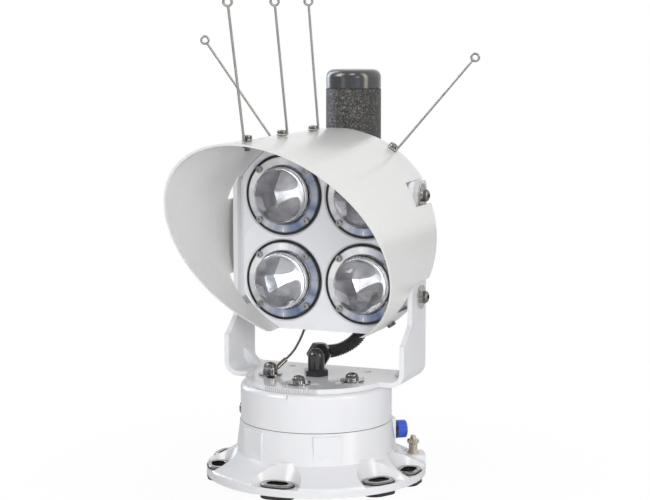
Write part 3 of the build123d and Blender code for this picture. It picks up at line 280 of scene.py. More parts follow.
def turnedGroup():
    # round each lens the normal follows a sine of the radius, and a painted sheen, in place of the
    # highlights of brushed metal, adds streak noise on the direction from the middle to that direction's dot
    # product with the side painted lighter as if lit
    group, start, end = nodeGroup(
        "LatheLinesAndSheen",
        [("Pitch", "NodeSocketFloat", 9000.0), ("Height", "NodeSocketFloat", 0.00001)],
        [("Radius", "NodeSocketFloat"), ("Across", "NodeSocketFloat"), ("Painted Sheen", "NodeSocketFloat"),
         ("Normal", "NodeSocketVector")])
    split = addNode(group, "ShaderNodeSeparateXYZ", {"Vector": objectPlace(group)})
    left = cellOffset(group, split.outputs["X"])
    up = cellOffset(group, calc(group, "SUBTRACT", split.outputs["Z"], lensZ * mm))
    flat = addNode(group, "ShaderNodeCombineXYZ", {"X": left, "Y": up}).outputs[0]
    radius = calcVector(group, "LENGTH", flat)
    wave = calc(group, "SINE", calc(group, "MULTIPLY", radius, start.outputs["Pitch"]))
    grooves = bump(group, wave, start.outputs["Height"])
    across = calc(group, "ABSOLUTE", left)
    turn = calcVector(group, "NORMALIZE", flat)
    streak = noise(group, turn, paintedSheen["scale"], paintedSheen["detail"], paintedSheen["roughness"])
    sharp = ramp(group, streak, paintedSheen["span"])
    # painted light: the side towards the shine direction is painted lighter, as if lit
    paintedLitSide = calc(group, "ADD", calcVector(group, "DOT_PRODUCT", turn, paintedSheen["shine"]), paintedSheen["level"])
    both = calc(group, "MULTIPLY_ADD", sharp, paintedSheen["share"], paintedLitSide, clamp=True)
    group.links.new(both, end.inputs["Painted Sheen"])
    group.links.new(radius, end.inputs["Radius"])
    group.links.new(across, end.inputs["Across"])
    group.links.new(grooves, end.inputs["Normal"])
    return group


grain = grainGroup()
turned = turnedGroup()


# materials

def material(name, dark, light, smooth, rough, scale=400.0, height=0.0001, fineScale=2500.0,
             fineHeight=0.00002, patch=9.0, **shader):
    # the shared grain feeds colour, roughness and normal; what is the same all over sits on the shader
    made = bpy.data.materials.new(name)
    made.use_nodes = True
    tree = made.node_tree
    surface = tree.nodes["Principled BSDF"]
    effect = addNode(tree, "ShaderNodeGroup", node_tree=grain)
    values = {"Scale": scale, "Height": height, "Fine Scale": fineScale, "Fine Height": fineHeight,
              "Dark": (*dark, 1), "Light": (*light, 1), "Smooth": smooth, "Rough": rough,
              "Patch Scale": patch}
    for key, value in values.items():
        effect.inputs[key].default_value = value
    tree.links.new(effect.outputs["Color"], surface.inputs["Base Color"])
    tree.links.new(effect.outputs["Roughness"], surface.inputs["Roughness"])
    tree.links.new(effect.outputs["Normal"], surface.inputs["Normal"])
    for key, value in shader.items():
        surface.inputs[key.replace("_", " ")].default_value = value
    return made


# each has its dark and light tone, then its roughness in the glossiest and in the dullest patch
polished = {"scale": 900.0, "height": 0.00003, "fineScale": 6000.0, "fineHeight": 0.00001, "Metallic": 1.0}

hoodPaint = material("hoodPaint", (0.755, 0.75, 0.735), (0.785, 0.78, 0.77), 0.08, 0.13, scale=300.0,
                     height=0.00032, fineScale=900.0, fineHeight=0.00010, Specular_IOR_Level=0.7)
headPaint = material("headPaint", (0.78, 0.785, 0.795), (0.82, 0.825, 0.835), 0.16, 0.24, scale=420.0,
                     height=0.00016)
platePaint = material("platePaint", (0.80, 0.81, 0.845), (0.84, 0.85, 0.885), 0.22, 0.30, scale=520.0)
steel = material("steel", (0.13, 0.12, 0.115), (0.33, 0.32, 0.305), 0.09, 0.18, patch=160.0, **polished)
screwSteel = material("screwSteel", (0.60, 0.585, 0.57), (0.78, 0.765, 0.75), 0.22, 0.32, patch=160.0,
                      **polished)
washerSteel = material("washerSteel", (0.20, 0.19, 0.18), (0.40, 0.39, 0.38), 0.10, 0.18, patch=120.0,
                       **polished)
wireSteel = material("wireSteel", (0.34, 0.325, 0.31), (0.42, 0.405, 0.39), 0.40, 0.48, height=0.0,
                     fineHeight=0.0, patch=12.0, Metallic=0.9)
ropeSteel = material("ropeSteel", (0.20, 0.17, 0.14), (0.46, 0.41, 0.36), 0.24, 0.38, scale=800.0,
                     height=0.00004, fineScale=5000.0, fineHeight=0.00001, patch=200.0, Metallic=1.0)
springSteel = material("springSteel", (0.34, 0.33, 0.32), (0.52, 0.51, 0.49), 0.14, 0.24, Metallic=1.0)
nickelBrass = material("nickelBrass", (0.44, 0.38, 0.29), (0.74, 0.67, 0.56), 0.16, 0.30, scale=900.0,
                       height=0.00004, patch=150.0, Metallic=1.0)
aluminium = material("aluminium", (0.62, 0.63, 0.65), (0.76, 0.77, 0.79), 0.20, 0.34, scale=900.0,
                     height=0.00003, Metallic=1.0)
# bowl metal in patches from near black to white: painted reflections, in place of the broken reflections
# inside the bowls
cupMetalPaintedReflections = material("cupMetalPaintedReflections", (0.06, 0.05, 0.06), (0.97, 0.97, 1.0), 0.16, 0.26, scale=300.0,
                    height=0.00001, patch=62.0, Metallic=1.0)
rubber = material("rubber", (0.008, 0.008, 0.009), (0.020, 0.020, 0.021), 0.45, 0.65, scale=700.0)
blackPlastic = material("blackPlastic", (0.010, 0.010, 0.011), (0.020, 0.020, 0.021), 0.11, 0.18,
                        scale=900.0, height=0.00004, Specular_IOR_Level=0.8)
hosePlastic = material("hosePlastic", (0.022, 0.022, 0.023), (0.034, 0.034, 0.036), 0.34, 0.46,
                       scale=1200.0, height=0.00004)
bluePlastic = material("bluePlastic", (0.030, 0.085, 0.50), (0.045, 0.12, 0.66), 0.22, 0.32,
                       scale=1100.0, height=0.00005)
satinBlack = material("satinBlack", (0.034, 0.035, 0.038), (0.044, 0.046, 0.050), 0.17, 0.23,
                      scale=700.0, height=0.00003, Specular_IOR_Level=0.9)
boardGreen = material("boardGreen", (0.012, 0.10, 0.035), (0.02, 0.15, 0.05), 0.30, 0.42)
boardWhite = material("boardWhite", (0.80, 0.80, 0.78), (0.84, 0.84, 0.82), 0.30, 0.40)
terminalGreen = material("terminalGreen", (0.02, 0.20, 0.08), (0.03, 0.27, 0.11), 0.34, 0.46)
phosphor = material("phosphor", (0.78, 0.52, 0.06), (0.86, 0.62, 0.10), 0.45, 0.6, scale=1500.0,
                    height=0.00005)


castPaint = {"dark": (0.735, 0.737, 0.757), "light": (0.765, 0.767, 0.787), "smooth": 0.17, "rough": 0.24,
             "scale": 200.0, "fineScale": 1100.0, "Specular_IOR_Level": 0.55}


def markedPaint(name, look, tests):
    # gloss white of the castings with cut marks: a mark is where every tested measure is within its half
    # width of its centre, and a test with a period starts again at each period
    made = material(name, **castPaint | look["gloss"])
    tree = made.node_tree
    surface = tree.nodes["Principled BSDF"]
    effect = next(n for n in tree.nodes if n.type == "GROUP")
    split = addNode(tree, "ShaderNodeSeparateXYZ", {"Vector": objectPlace(tree)})
    ahead = calc(tree, "MULTIPLY", split.outputs["Y"], -1.0)
    flat = addNode(tree, "ShaderNodeCombineXYZ", {"X": split.outputs["X"], "Y": split.outputs["Y"]})
    measures = {"angle": calc(tree, "ARCTAN2", split.outputs["X"], ahead),
                "radius": calcVector(tree, "LENGTH", flat.outputs[0]), "height": split.outputs["Z"]}
    mark = 1.0
    for kind, centre, half, period in tests:
        value = measures[kind]
        if period:
            value = calc(tree, "WRAP", value, centre - period / 2, centre + period / 2)
        mark = calc(tree, "MULTIPLY", mark, calc(tree, "COMPARE", value, centre, half))
    tint = mixColour(tree, mark, effect.outputs["Color"], look["ink"])
    tree.links.new(tint, surface.inputs["Base Color"])
    cut = bump(tree, mark, look["deep"], effect.outputs["Normal"], invert=True)
    tree.links.new(cut, surface.inputs["Normal"])
    return made


discScale = {  # degree marks on the front of the disc's edge, in metres and radians
    "step": math.radians(2), "end": math.radians(22.6), "half": 0.0042, "radius": 0.0722, "reach": 0.0012,
    "low": 0.0978, "high": 0.1018, "deep": 0.0003, "ink": (0.50, 0.50, 0.51, 1),
    "gloss": {"smooth": 0.06, "rough": 0.10},
}
drumMark = {  # one index line under them
    "half": 0.006, "radius": 0.077, "reach": 0.002, "height": 0.0945, "tall": 0.0022, "deep": 0.0003,
    "ink": (0.40, 0.40, 0.41, 1), "gloss": {},
}
basePaint = material("basePaint", **castPaint)
discPaint = markedPaint("discPaint", discScale, [
    ("angle", 0.0, discScale["half"], discScale["step"]),
    ("angle", 0.0, discScale["end"], None),
    ("radius", discScale["radius"], discScale["reach"], None),
    ("height", (discScale["low"] + discScale["high"]) / 2, (discScale["high"] - discScale["low"]) / 2, None),
])
drumPaint = markedPaint("drumPaint", drumMark, [
    ("angle", 0.0, drumMark["half"], None),
    ("radius", drumMark["radius"], drumMark["reach"], None),
    ("height", drumMark["height"], drumMark["tall"], None),
])

# the pale flecks on the crinkle's crests are painted highlights
coat = {  # crinkled black coat of the antenna
    "scale": 560.0, "detail": 4.0, "roughness": 0.7, "distortion": 1.2,
    "folds": (0.36, 0.66), "deep": 0.0007, "paintedGlints": (0.50, 0.72),
    "black": (0.028, 0.027, 0.026, 1), "glintTone": (0.44, 0.43, 0.41, 1),
    "glossSpan": (0.3, 0.7), "gloss": (0.46, 0.24),
}


def crinkleMaterial():
    # height, pale flecks painted on the raised crests as glints, and gloss of the crinkled coat are three
    # stretches of one noise
    made = bpy.data.materials.new("crinkleBlack")
    made.use_nodes = True
    tree = made.node_tree
    surface = tree.nodes["Principled BSDF"]
    crumple = noise(tree, objectPlace(tree), coat["scale"], coat["detail"], coat["roughness"],
                    coat["distortion"])
    folds = ramp(tree, crumple, coat["folds"])
    # painted highlights: the crests of the crinkle are tinted pale
    tint = mixColour(tree, ramp(tree, crumple, coat["paintedGlints"]), coat["black"], coat["glintTone"])
    tree.links.new(tint, surface.inputs["Base Color"])
    tree.links.new(ramp(tree, crumple, coat["glossSpan"], coat["gloss"]), surface.inputs["Roughness"])
    tree.links.new(bump(tree, folds, coat["deep"]), surface.inputs["Normal"])
    return made


ringLook = {
    "dark": (0.11, 0.16, 0.29), "light": (1.0, 1.0, 1.0), "mark": (0.97, 0.98, 1.0, 1),
    "markHalf": 0.00045, "markRadius": 0.0364, "markReach": 0.0022,
}


def ringMaterial():
    # lathe lines, and a painted sheen mixing a dark and a light tone in streaks, lighter on the side painted
    # as lit, with a short index line at the ring's top and foot where the distance from its upright middle
    # line is under half a line's width
    made = material("ringMetal", ringLook["dark"], ringLook["light"], 0.16, 0.24, patch=40.0, Metallic=0.6)
    tree = made.node_tree
    surface = tree.nodes["Principled BSDF"]
    lathe = addNode(tree, "ShaderNodeGroup", node_tree=turned)
    thin = calc(tree, "COMPARE", lathe.outputs["Across"], 0.0, ringLook["markHalf"])
    outer = calc(tree, "COMPARE", lathe.outputs["Radius"], ringLook["markRadius"], ringLook["markReach"])
    # painted sheen: the streaks and the side painted as lit mix the dark and the light tone
    sheenTint = mixColour(tree, lathe.outputs["Painted Sheen"], (*ringLook["dark"], 1), (*ringLook["light"], 1))
    tint = mixColour(tree, calc(tree, "MULTIPLY", thin, outer), sheenTint, ringLook["mark"])
    tree.links.new(tint, surface.inputs["Base Color"])
    tree.links.new(lathe.outputs["Normal"], surface.inputs["Normal"])
    return made


glassLook = {"Base Color": (0.975, 0.985, 0.995, 1), "Roughness": 0.0, "IOR": 1.52,
             "Transmission Weight": 1.0}
glassSwirl = {"scale": 45.0, "detail": 1.0, "deep": 0.0004}


def glassMaterial():
    # clear glass with a slow swirl in its normal; shadow rays and diffuse rays pass straight through it
    made = bpy.data.materials.new("lensGlass")
    made.use_nodes = True
    tree = made.node_tree
    surface = tree.nodes["Principled BSDF"]
    out = next(n for n in tree.nodes if n.type == "OUTPUT_MATERIAL")
    for key, value in glassLook.items():
        surface.inputs[key].default_value = value
    swirl = noise(tree, objectPlace(tree), glassSwirl["scale"], glassSwirl["detail"])
    tree.links.new(bump(tree, swirl, glassSwirl["deep"]), surface.inputs["Normal"])
    ray = addNode(tree, "ShaderNodeLightPath")
    through = calc(tree, "MAXIMUM", ray.outputs["Is Shadow Ray"], ray.outputs["Is Diffuse Ray"])
    clear = addNode(tree, "ShaderNodeBsdfTransparent")
    mix = addNode(tree, "ShaderNodeMixShader", {0: through, 1: surface.outputs[0], 2: clear.outputs[0]})
    tree.links.new(mix.outputs[0], out.inputs["Surface"])
    return made


crinkle = crinkleMaterial()
ringMetal = ringMaterial()
lensGlass = glassMaterial()

dressing = {
    basePaint: ["base_casting"],
    drumPaint: ["drum_housing"],
    discPaint: ["yoke_bracket"],
    hoodPaint: ["hood"],
    headPaint: ["head_housing", "rear_cover", "side_plates", "antenna_shelf"],
    platePaint: ["front_plate"],
    steel: ["joint_screws", "azimuth_bolts", "tilt_pivot_bolts", "tilt_lock_bolts", "hood_screws",
            "hood_nuts", "cover_screws", "shelf_screws", "vent_plug", "lanyard_eye", "lanyard_anchor"],
    screwSteel: ["tilt_washers"],
    washerSteel: ["azimuth_washers", "slot_washers"],
    springSteel: ["azimuth_spring_washers", "tilt_spring_washers", "ring_screws"],
    wireSteel: ["bird_spikes"],
    nickelBrass: ["earth_nut", "earth_stud"],
    rubber: ["base_gasket", "drum_seal", "lens_gaskets", "lower_bushes", "upper_bushes"],
    blackPlastic: ["connector_collar", "elbow_base", "elbow_locknut", "elbow_body", "elbow_nut",
                   "conduit_grommet", "board_pillars"],
    bluePlastic: ["connector_cap"],
    crinkle: ["antenna_tube"],
    satinBlack: ["antenna_cap"],
    aluminium: ["base_cover", "heat_sink"],
    ringMetal: ["lens_rings"],
    cupMetalPaintedReflections: ["cell_cups"],
    boardGreen: ["power_board", "antenna_board"],
    boardWhite: ["led_boards"],
    terminalGreen: ["terminal_block"],
}
castAngle = 28      # degrees past which an edge stays sharp
screwAngles = {"ring_screws": 40, "hood_screws": 40, "cover_screws": 40}
for look, names in dressing.items():
    for name in names:
        shape = nodes[name]
        for place in shape.material_slots:
            place.material = look
        shape.data.set_sharp_from_angle(angle=math.radians(screwAngles.get(name, castAngle)))
print("materials on", sum(len(n) for n in dressing.values()), "nodes of", len(nodes))


# camera fitted to the photo: angles in degrees, distances in metres, lens and sensor in millimetres

view = {"turn": 22.135, "off": -0.283, "down": 7.414, "away": 1.8, "height": 0.4653, "lens": 99.54,
        "sensor": 36.0, "near": 0.05, "far": 50.0}


def makeCamera():
    # stands on a circle about the upright axis and looks along it, turned a little off and down
    a = math.radians(view["turn"])
    w = a + math.radians(view["off"])
    p = math.radians(view["down"])
    ahead = Vector((-math.sin(w) * math.cos(p), math.cos(w) * math.cos(p), -math.sin(p)))
    camera = bpy.data.objects.new("camera", bpy.data.cameras.new("camera"))
    bpy.context.scene.collection.objects.link(camera)
    camera.data.sensor_width = view["sensor"]
    camera.data.lens = view["lens"]
    camera.location = (view["away"] * math.sin(a), -view["away"] * math.cos(a), view["height"])
    camera.rotation_mode = "QUATERNION"
    camera.rotation_quaternion = ahead.to_track_quat("-Z", "Y")
    camera.data.clip_start = view["near"]
    camera.data.clip_end = view["far"]
    bpy.context.scene.camera = camera
    print("camera")


makeCamera()


# conduit from the elbow into the head, in millimetres

hose = {
    "route": [(-1.67, 11.88, 122.4), (-3.2, 22.8, 122.4), (-1.4, 32.4, 121.3), (4.0, 39.4, 121.2),
              (10.8, 44.0, 123.2), (18.4, 46.8, 127.5), (25.4, 48.2, 133.4), (30.2, 49.0, 141.0),
              (31.4, 49.0, 148.0), (31.4, 49.0, 159.99)],
    "crest": 6.9, "root": 6.0, "pitch": 2.4, "square": 0.55, "curve": 40, "perRib": 12, "around": 48,
}


def makeHose():
    # ribs are a cosine along an evenly spaced route, its size raised to a power below one to square it off
    path = splineLine(hose["route"], hose["curve"])
    length = float(np.linalg.norm(np.diff(path, axis=0), axis=1).sum())
    ribs = round(length / (hose["pitch"] * mm))
    line, at = evenly(path, ribs * hose["perRib"] + 1)
    wave = np.cos(at / length * ribs * 2 * math.pi)
    shape = np.sign(wave) * np.abs(wave) ** hose["square"]
    radii = (hose["root"] + (hose["crest"] - hose["root"]) * (0.5 - 0.5 * shape)) * mm
    verts, faces = tubeMesh(line, radii, hose["around"])
    piece = newMesh("conduitHose", verts, faces, None, hosePlastic)
    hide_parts("conduit")
    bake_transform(piece)
    print("conduit", round(length * 1000, 1), "mm,", ribs, "ribs")


makeHose()


# lanyard from its anchor to the eye, in millimetres

rope = {
    "route": [(-35.0, 3.0, 116.0), (-31.2, 8.6, 120.8), (-28.6, 14.6, 126.6), (-27.4, 21.4, 132.6),
              (-27.0, 28.4, 138.0), (-27.0, 33.6, 143.0)],
    "radius": 1.3, "strands": 6, "strandR": 0.44, "lay": 15.0, "curve": 40, "points": 150, "held": 8,
    "around": 8,
}


def makeRope():
    # a core on the route and strands round it, each a helix that makes one turn in a lay's length
    line, at = evenly(splineLine(rope["route"], rope["curve"]), rope["points"])
    sides, ups, _ = turnFrames(line)
    verts, faces = [], []
    reach = (rope["radius"] - rope["strandR"]) * mm
    for k in range(rope["strands"] + 1):
        a = at / (rope["lay"] * mm) * 2 * math.pi + k * 2 * math.pi / rope["strands"]
        out = reach if k else 0.0
        strand = line + out * (np.cos(a)[:, None] * sides + np.sin(a)[:, None] * ups)
        more, quads = tubeMesh(strand, rope["strandR"] * mm, rope["around"], sum(map(len, verts)))
        verts.append(more)
        faces += quads
    piece = newMesh("lanyardRope", np.concatenate(verts), faces, None, ropeSteel)
    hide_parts("lanyard")
    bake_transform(piece)
    print("lanyard", round(float(at[-1]) * 1000, 1), "mm")


makeRope()


# bird spikes, each one bent wire, in millimetres and degrees

spikes = {
    "wire": 1.2, "around": 14, "curve": 5, "hoodR": 110.0, "hoodZ": 241.7, "lift": 1.38,
    "loop": 4.0, "loopTurn": (-335, -15), "loopPoints": 20, "reach": 6.6, "footStart": 1.0, "knee": 0.7,
    "leg": 125.5, "legPoints": (2.0, 6.0, 40.0, 80.0), "legEnd": (6.0, 1.5),
    "eye": 3.8, "eyeTurn": (12, 345), "eyePoints": 22, "eyeFaces": (-0.38, 0.92, 0.0),
    "places": [  # angle round the hood, place along Y, lean, direction of the foot
        (0, -168.0, (0, -math.sin(math.radians(15.0)), math.cos(math.radians(15.0))), (0.0, -1.0, 0.0)),
        (0, -87.0, (0, -math.sin(math.radians(13.3)), math.cos(math.radians(13.3))), (0.5, 0.87, 0.0)),
        (0, -8.0, (0, -math.sin(math.radians(11.5)), math.cos(math.radians(11.5))), (0.5, 0.87, 0.0)),
        (35, 49.0, (0.67, -0.09, 0.737), (0.67, -0.09, 0.737)),
        (-35, 49.0, (-0.515, -0.22, 0.828), (-0.515, -0.22, 0.828)),
    ],
}


def unit(v):
    # the vector over its length
    v = np.asarray(v, float)
    return v / np.linalg.norm(v)


def spikePoints(angle, y, lean, foot):
    # control points of one wire: ring round the screw, short foot, knee, straight leg, ring at the tip
    a = math.radians(angle)
    n = np.array([math.sin(a), 0.0, math.cos(a)])
    lean, out = unit(lean), np.asarray(foot, float)
    out = unit(out - n * (out @ n))
    side = np.cross(n, out)
    centre = np.array([n[0] * spikes["hoodR"], y, spikes["hoodZ"] + n[2] * spikes["hoodR"]])
    centre = centre + n * spikes["lift"]
    t = np.radians(np.linspace(*spikes["loopTurn"], spikes["loopPoints"]))[:, None]
    ring = centre + spikes["loop"] * (np.cos(t) * out + np.sin(t) * side)
    knee = centre + out * spikes["reach"]
    tip = knee + lean * spikes["leg"]
    across = unit(np.cross(lean, spikes["eyeFaces"]))
    u = np.radians(np.linspace(*spikes["eyeTurn"], spikes["eyePoints"]))[:, None]
    eye = tip + lean * spikes["eye"] + spikes["eye"] * (-np.cos(u) * lean + np.sin(u) * across)
    run = [centre + out * (spikes["loop"] + spikes["footStart"]), knee - out * spikes["knee"],
           knee + lean * spikes["knee"]]
    leg = [knee + lean * d for d in (*spikes["legPoints"], *(spikes["leg"] - e for e in spikes["legEnd"]))]
    return [*ring, *run, *leg, tip, *eye]


def makeSpikes():
    # a tube along the curve through each wire's control points
    verts, faces = [], []
    for place in spikes["places"]:
        line = splineLine(spikePoints(*place), spikes["curve"])
        more, quads = tubeMesh(line, spikes["wire"] * mm, spikes["around"], sum(map(len, verts)))
        verts.append(more)
        faces += quads
    piece = newMesh("spikeWires", np.concatenate(verts), faces, "head", wireSteel)
    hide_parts("bird_spikes")
    print("spikes", len(spikes["places"]))


makeSpikes()


# lenses and the bowls behind them, in millimetres; places along Y grow towards the back

cellCentres = [(x, lensZ + z) for x in (-cellHalf, cellHalf) for z in (-cellHalf, cellHalf)]
lens = {
    "rim": 28.9, "flange": 33.0, "seat": 20.5, "back": 22.2, "edge": 9.4, "soft": 0.9, "high": 11.4,
    "bevel": 0.3, "backRing": 0.6, "steps": 40, "softSteps": 7, "wallSteps": 8, "around": 128, "sharp": 40,
}


def makeLenses():
    # elliptic dome, a quarter turn into a straight polished wall, and a flange behind the clamp ring
    bevel = lens["bevel"]
    t = np.linspace(0, math.pi / 2, lens["steps"])
    front = lens["edge"] - lens["soft"]
    dome = np.c_[(lens["rim"] - lens["soft"]) * np.sin(t), front - lens["high"] * np.cos(t)]
    u = np.linspace(0, math.pi / 2, lens["softSteps"])[1:]
    turn = np.c_[lens["rim"] - lens["soft"] + lens["soft"] * np.sin(u),
                 front + lens["soft"] * (1 - np.cos(u))]
    y = np.linspace(lens["edge"] + 2 * bevel, lens["seat"] - bevel, lens["wallSteps"])
    wall = np.c_[np.full(len(y), lens["rim"]), y]
    foot = [(lens["rim"] + bevel, lens["seat"]), (lens["flange"] - bevel, lens["seat"]),
            (lens["flange"], lens["seat"] + bevel), (lens["flange"], lens["back"] - bevel),
            (lens["flange"] - bevel, lens["back"]), (lens["rim"] * lens["backRing"], lens["back"]),
            (0.0, lens["back"])]
    verts, faces = turnedMesh([*dome, *turn, *wall, *foot], cellCentres, lens["around"])
    piece = newMesh("lensDomes", verts, faces, "head", lensGlass)
    piece.data.set_sharp_from_angle(angle=math.radians(lens["sharp"]))
    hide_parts("lenses")
    print("lenses")


# a bowl's front rim and back throat are radii, and its front and back are places along Y
bowl = {"rim": 29.8, "front": 23.0, "throat": 5.4, "back": 46.6, "wall": 0.5, "steps": 5, "around": 10}


def makeBowls():
    # facets on a paraboloid in front of each board: the radius squared grows evenly towards the lens
    y = np.linspace(bowl["back"], bowl["front"], bowl["steps"])
    share = (bowl["back"] - y) / (bowl["back"] - bowl["front"])
    r = np.sqrt(bowl["throat"] ** 2 + (bowl["rim"] ** 2 - bowl["throat"] ** 2) * share)
    loop = np.concatenate([np.c_[r, y], np.c_[r + bowl["wall"], y + bowl["wall"]][::-1]])
    a = np.linspace(0, 2 * math.pi, bowl["around"], endpoint=False)
    r, y = loop[:, :1], loop[:, 1:]
    one = np.stack([r * np.cos(a), y + 0 * a, r * np.sin(a)], -1).reshape(-1, 3)
    grid = np.array(gridFaces(len(loop) + 1, bowl["around"])) % len(one)
    verts = np.concatenate([one + np.array([x, 0.0, z]) for x, z in cellCentres])
    faces = (grid + len(one) * np.arange(len(cellCentres))[:, None, None]).reshape(-1, 4)
    newMesh("reflectorBowls", verts * mm, faces.tolist(), "head", cupMetalPaintedReflections, smooth=False)
    print("bowls")


makeLenses()
makeBowls()


# bolts, in millimetres: each tier of a head is its radius and its height over the seat

boltHead = {
    "around": 72, "shank": 3.9, "under": 0.1, "socket": 2.2, "socketTop": 4.6, "socketLow": 2.7, "sharp": 35,
    "tiers": [(6.2, 0.0), (6.8, 0.2), (6.8, 0.9), (6.5, 1.1), (5.9, 1.2), (5.9, 1.5), (6.3, 1.6),
              (6.3, 2.1), (6.0, 2.3), (5.4, 2.4), (5.4, 2.6), (5.7, 2.7), (5.5, 3.3), (4.8, 3.9),
              (3.9, 4.35), (3.0, 4.55)],
}
clampBolts = {"circle": 47.0, "angles": (0, 72, -72), "seats": (106.3, 106.3, 110.7), "tip": 80.2}
tiltBolts = {"seat": 102.0, "y": 39.0, "shank": 18.1, "heights": {"pivot": 183.4, "lock": 286.6}}


def makeBolts(name, node, body, places):
    # turned profile with two grooves in the head; the socket's radius is its half width over the cosine of
    # the angle from the middle of the nearest flat
    verts, faces = [], []
    for at, out, along, shank in places:
        profile = [(0.0, boltHead["socketLow"]), (boltHead["socket"], boltHead["socketLow"]),
                   (boltHead["socket"], boltHead["socketTop"]), *boltHead["tiers"][::-1],
                   (boltHead["shank"], -boltHead["under"]), (boltHead["shank"], -shank), (0.0, -shank)]
        one, more = turnedMesh(profile, [(0.0, 0.0)], boltHead["around"], sum(map(len, verts)))
        far = np.hypot(one[:, 0], one[:, 2])
        a = np.arctan2(one[:, 2], one[:, 0])
        hexagon = 1 / np.cos(a % (math.pi / 3) - math.pi / 6)
        between = (boltHead["socket"] + boltHead["tiers"][-1][0]) / 2
        grow = np.where(far < between * mm, hexagon, 1.0)
        third = np.cross(along, out)
        faces += more
        verts.append(np.outer(one[:, 0] * grow, along) + np.outer(one[:, 1], out)
                     + np.outer(one[:, 2] * grow, third) + np.array(at) * mm)
    piece = newMesh(name, np.concatenate(verts), faces, body, steel)
    piece.data.set_sharp_from_angle(angle=math.radians(boltHead["sharp"]))
    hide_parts(node)
    print(name)


def clampPlaces():
    # seat, direction of the head, a direction across it and length of the shank, round the disc
    for angle, seat in zip(clampBolts["angles"], clampBolts["seats"]):
        a = math.radians(angle)
        at = (clampBolts["circle"] * math.sin(a), -clampBolts["circle"] * math.cos(a), seat)
        yield at, (0, 0, 1), (1, 0, 0), seat - clampBolts["tip"]


def tiltPlaces(height):
    # the same on the two arms
    for side in (-1, 1):
        yield (side * tiltBolts["seat"], tiltBolts["y"], height), (side, 0, 0), (0, 1, 0), tiltBolts["shank"]


makeBolts("clampBolts", "azimuth_bolts", "base", clampPlaces())
makeBolts("pivotBolts", "tilt_pivot_bolts", "head", tiltPlaces(tiltBolts["heights"]["pivot"]))
makeBolts("lockBolts", "tilt_lock_bolts", "head", tiltPlaces(tiltBolts["heights"]["lock"]))

stud = {"angle": 117.0, "circle": 100.0, "low": 4.6, "high": 38.0, "radius": 3.0, "deep": 0.42, "pitch": 1.0,
        "lead": 1.2, "around": 48, "perTurn": 12, "sharp": 50}


def threadMesh(place, rod):
    # rod about an upright axis; its radius dips by a triangle wave that climbs one pitch a turn, and the
    # last turn narrows by the thread's depth
    rows = int((rod["high"] - rod["low"]) / rod["pitch"] * rod["perTurn"]) + 1
    z = np.linspace(rod["low"], rod["high"], rows)[:, None]
    a = np.linspace(0, 2 * math.pi, rod["around"], endpoint=False)[None]
    wave = np.abs(2 * ((z / rod["pitch"] - a / (2 * math.pi)) % 1.0) - 1.0)
    tip = np.clip((rod["high"] - z) / (rod["lead"] * rod["pitch"]), 0.0, 1.0)
    radius = rod["radius"] - rod["deep"] * wave - rod["deep"] * (1 - tip)
    grid = np.stack([place[0] + radius * np.cos(a), place[1] + radius * np.sin(a), z + 0 * a], -1)
    ends = np.array([[place[0], place[1], rod["low"]], [place[0], place[1], rod["high"]]])
    faces = gridFaces(rows, rod["around"]) + endCaps(rows, rod["around"]).tolist()
    return np.concatenate([grid.reshape(-1, 3), ends]) * mm, faces


def makeStud():
    # the threaded rod at its angle round the base
    a = math.radians(stud["angle"])
    place = (stud["circle"] * math.sin(a), -stud["circle"] * math.cos(a))
    verts, faces = threadMesh(place, stud)
    piece = newMesh("earthStudThread", verts, faces, "base", nickelBrass)
    piece.data.set_sharp_from_angle(angle=math.radians(stud["sharp"]))
    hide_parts("earth_stud")
    print("stud")


makeStud()


# emitters on the boards behind the lenses, in millimetres

emitter = {"across": 5, "die": 1.05, "gap": 0.28, "high": 0.35, "front": 47.2, "shoulder": 0.7,
           "inset": 0.12}


def makeEmitters():
    # a die is three square rings of corners, the last one drawn in, and a flat top; every die is this
    # one moved
    levels = np.array([(0.0, 0.0), (-emitter["high"] * emitter["shoulder"], 0.0),
                       (-emitter["high"], emitter["inset"])])
    corners = np.array([(-1, -1), (1, -1), (1, 1), (-1, 1)])
    reach = (emitter["die"] / 2 - levels[:, 1])[:, None]
    rise = emitter["front"] + levels[:, :1] + 0 * corners[:, 0]
    die = np.stack([reach * corners[:, 0], rise, reach * corners[:, 1]], -1).reshape(-1, 3)
    at = (np.arange(emitter["across"]) + 0.5 - emitter["across"] / 2) * (emitter["die"] + emitter["gap"])
    centres = np.array([(x + left, 0.0, z + up) for x, z in cellCentres for left in at for up in at])
    verts = (centres[:, None] + die).reshape(-1, 3) * mm
    one = np.array([*gridFaces(3, 4), [8, 9, 10, 11]])
    faces = (one + len(die) * np.arange(len(centres))[:, None, None]).reshape(-1, 4)
    newMesh("emitterDies", verts, faces.tolist(), "head", phosphor, smooth=False)
    print("emitters", len(centres))


makeEmitters()


# floor, room and lamps, in metres

ground = {"half": 6.0, "points": 33, "white": 0.86, "near": (0.10, 0.42), "glow": (0.95, 1.0)}


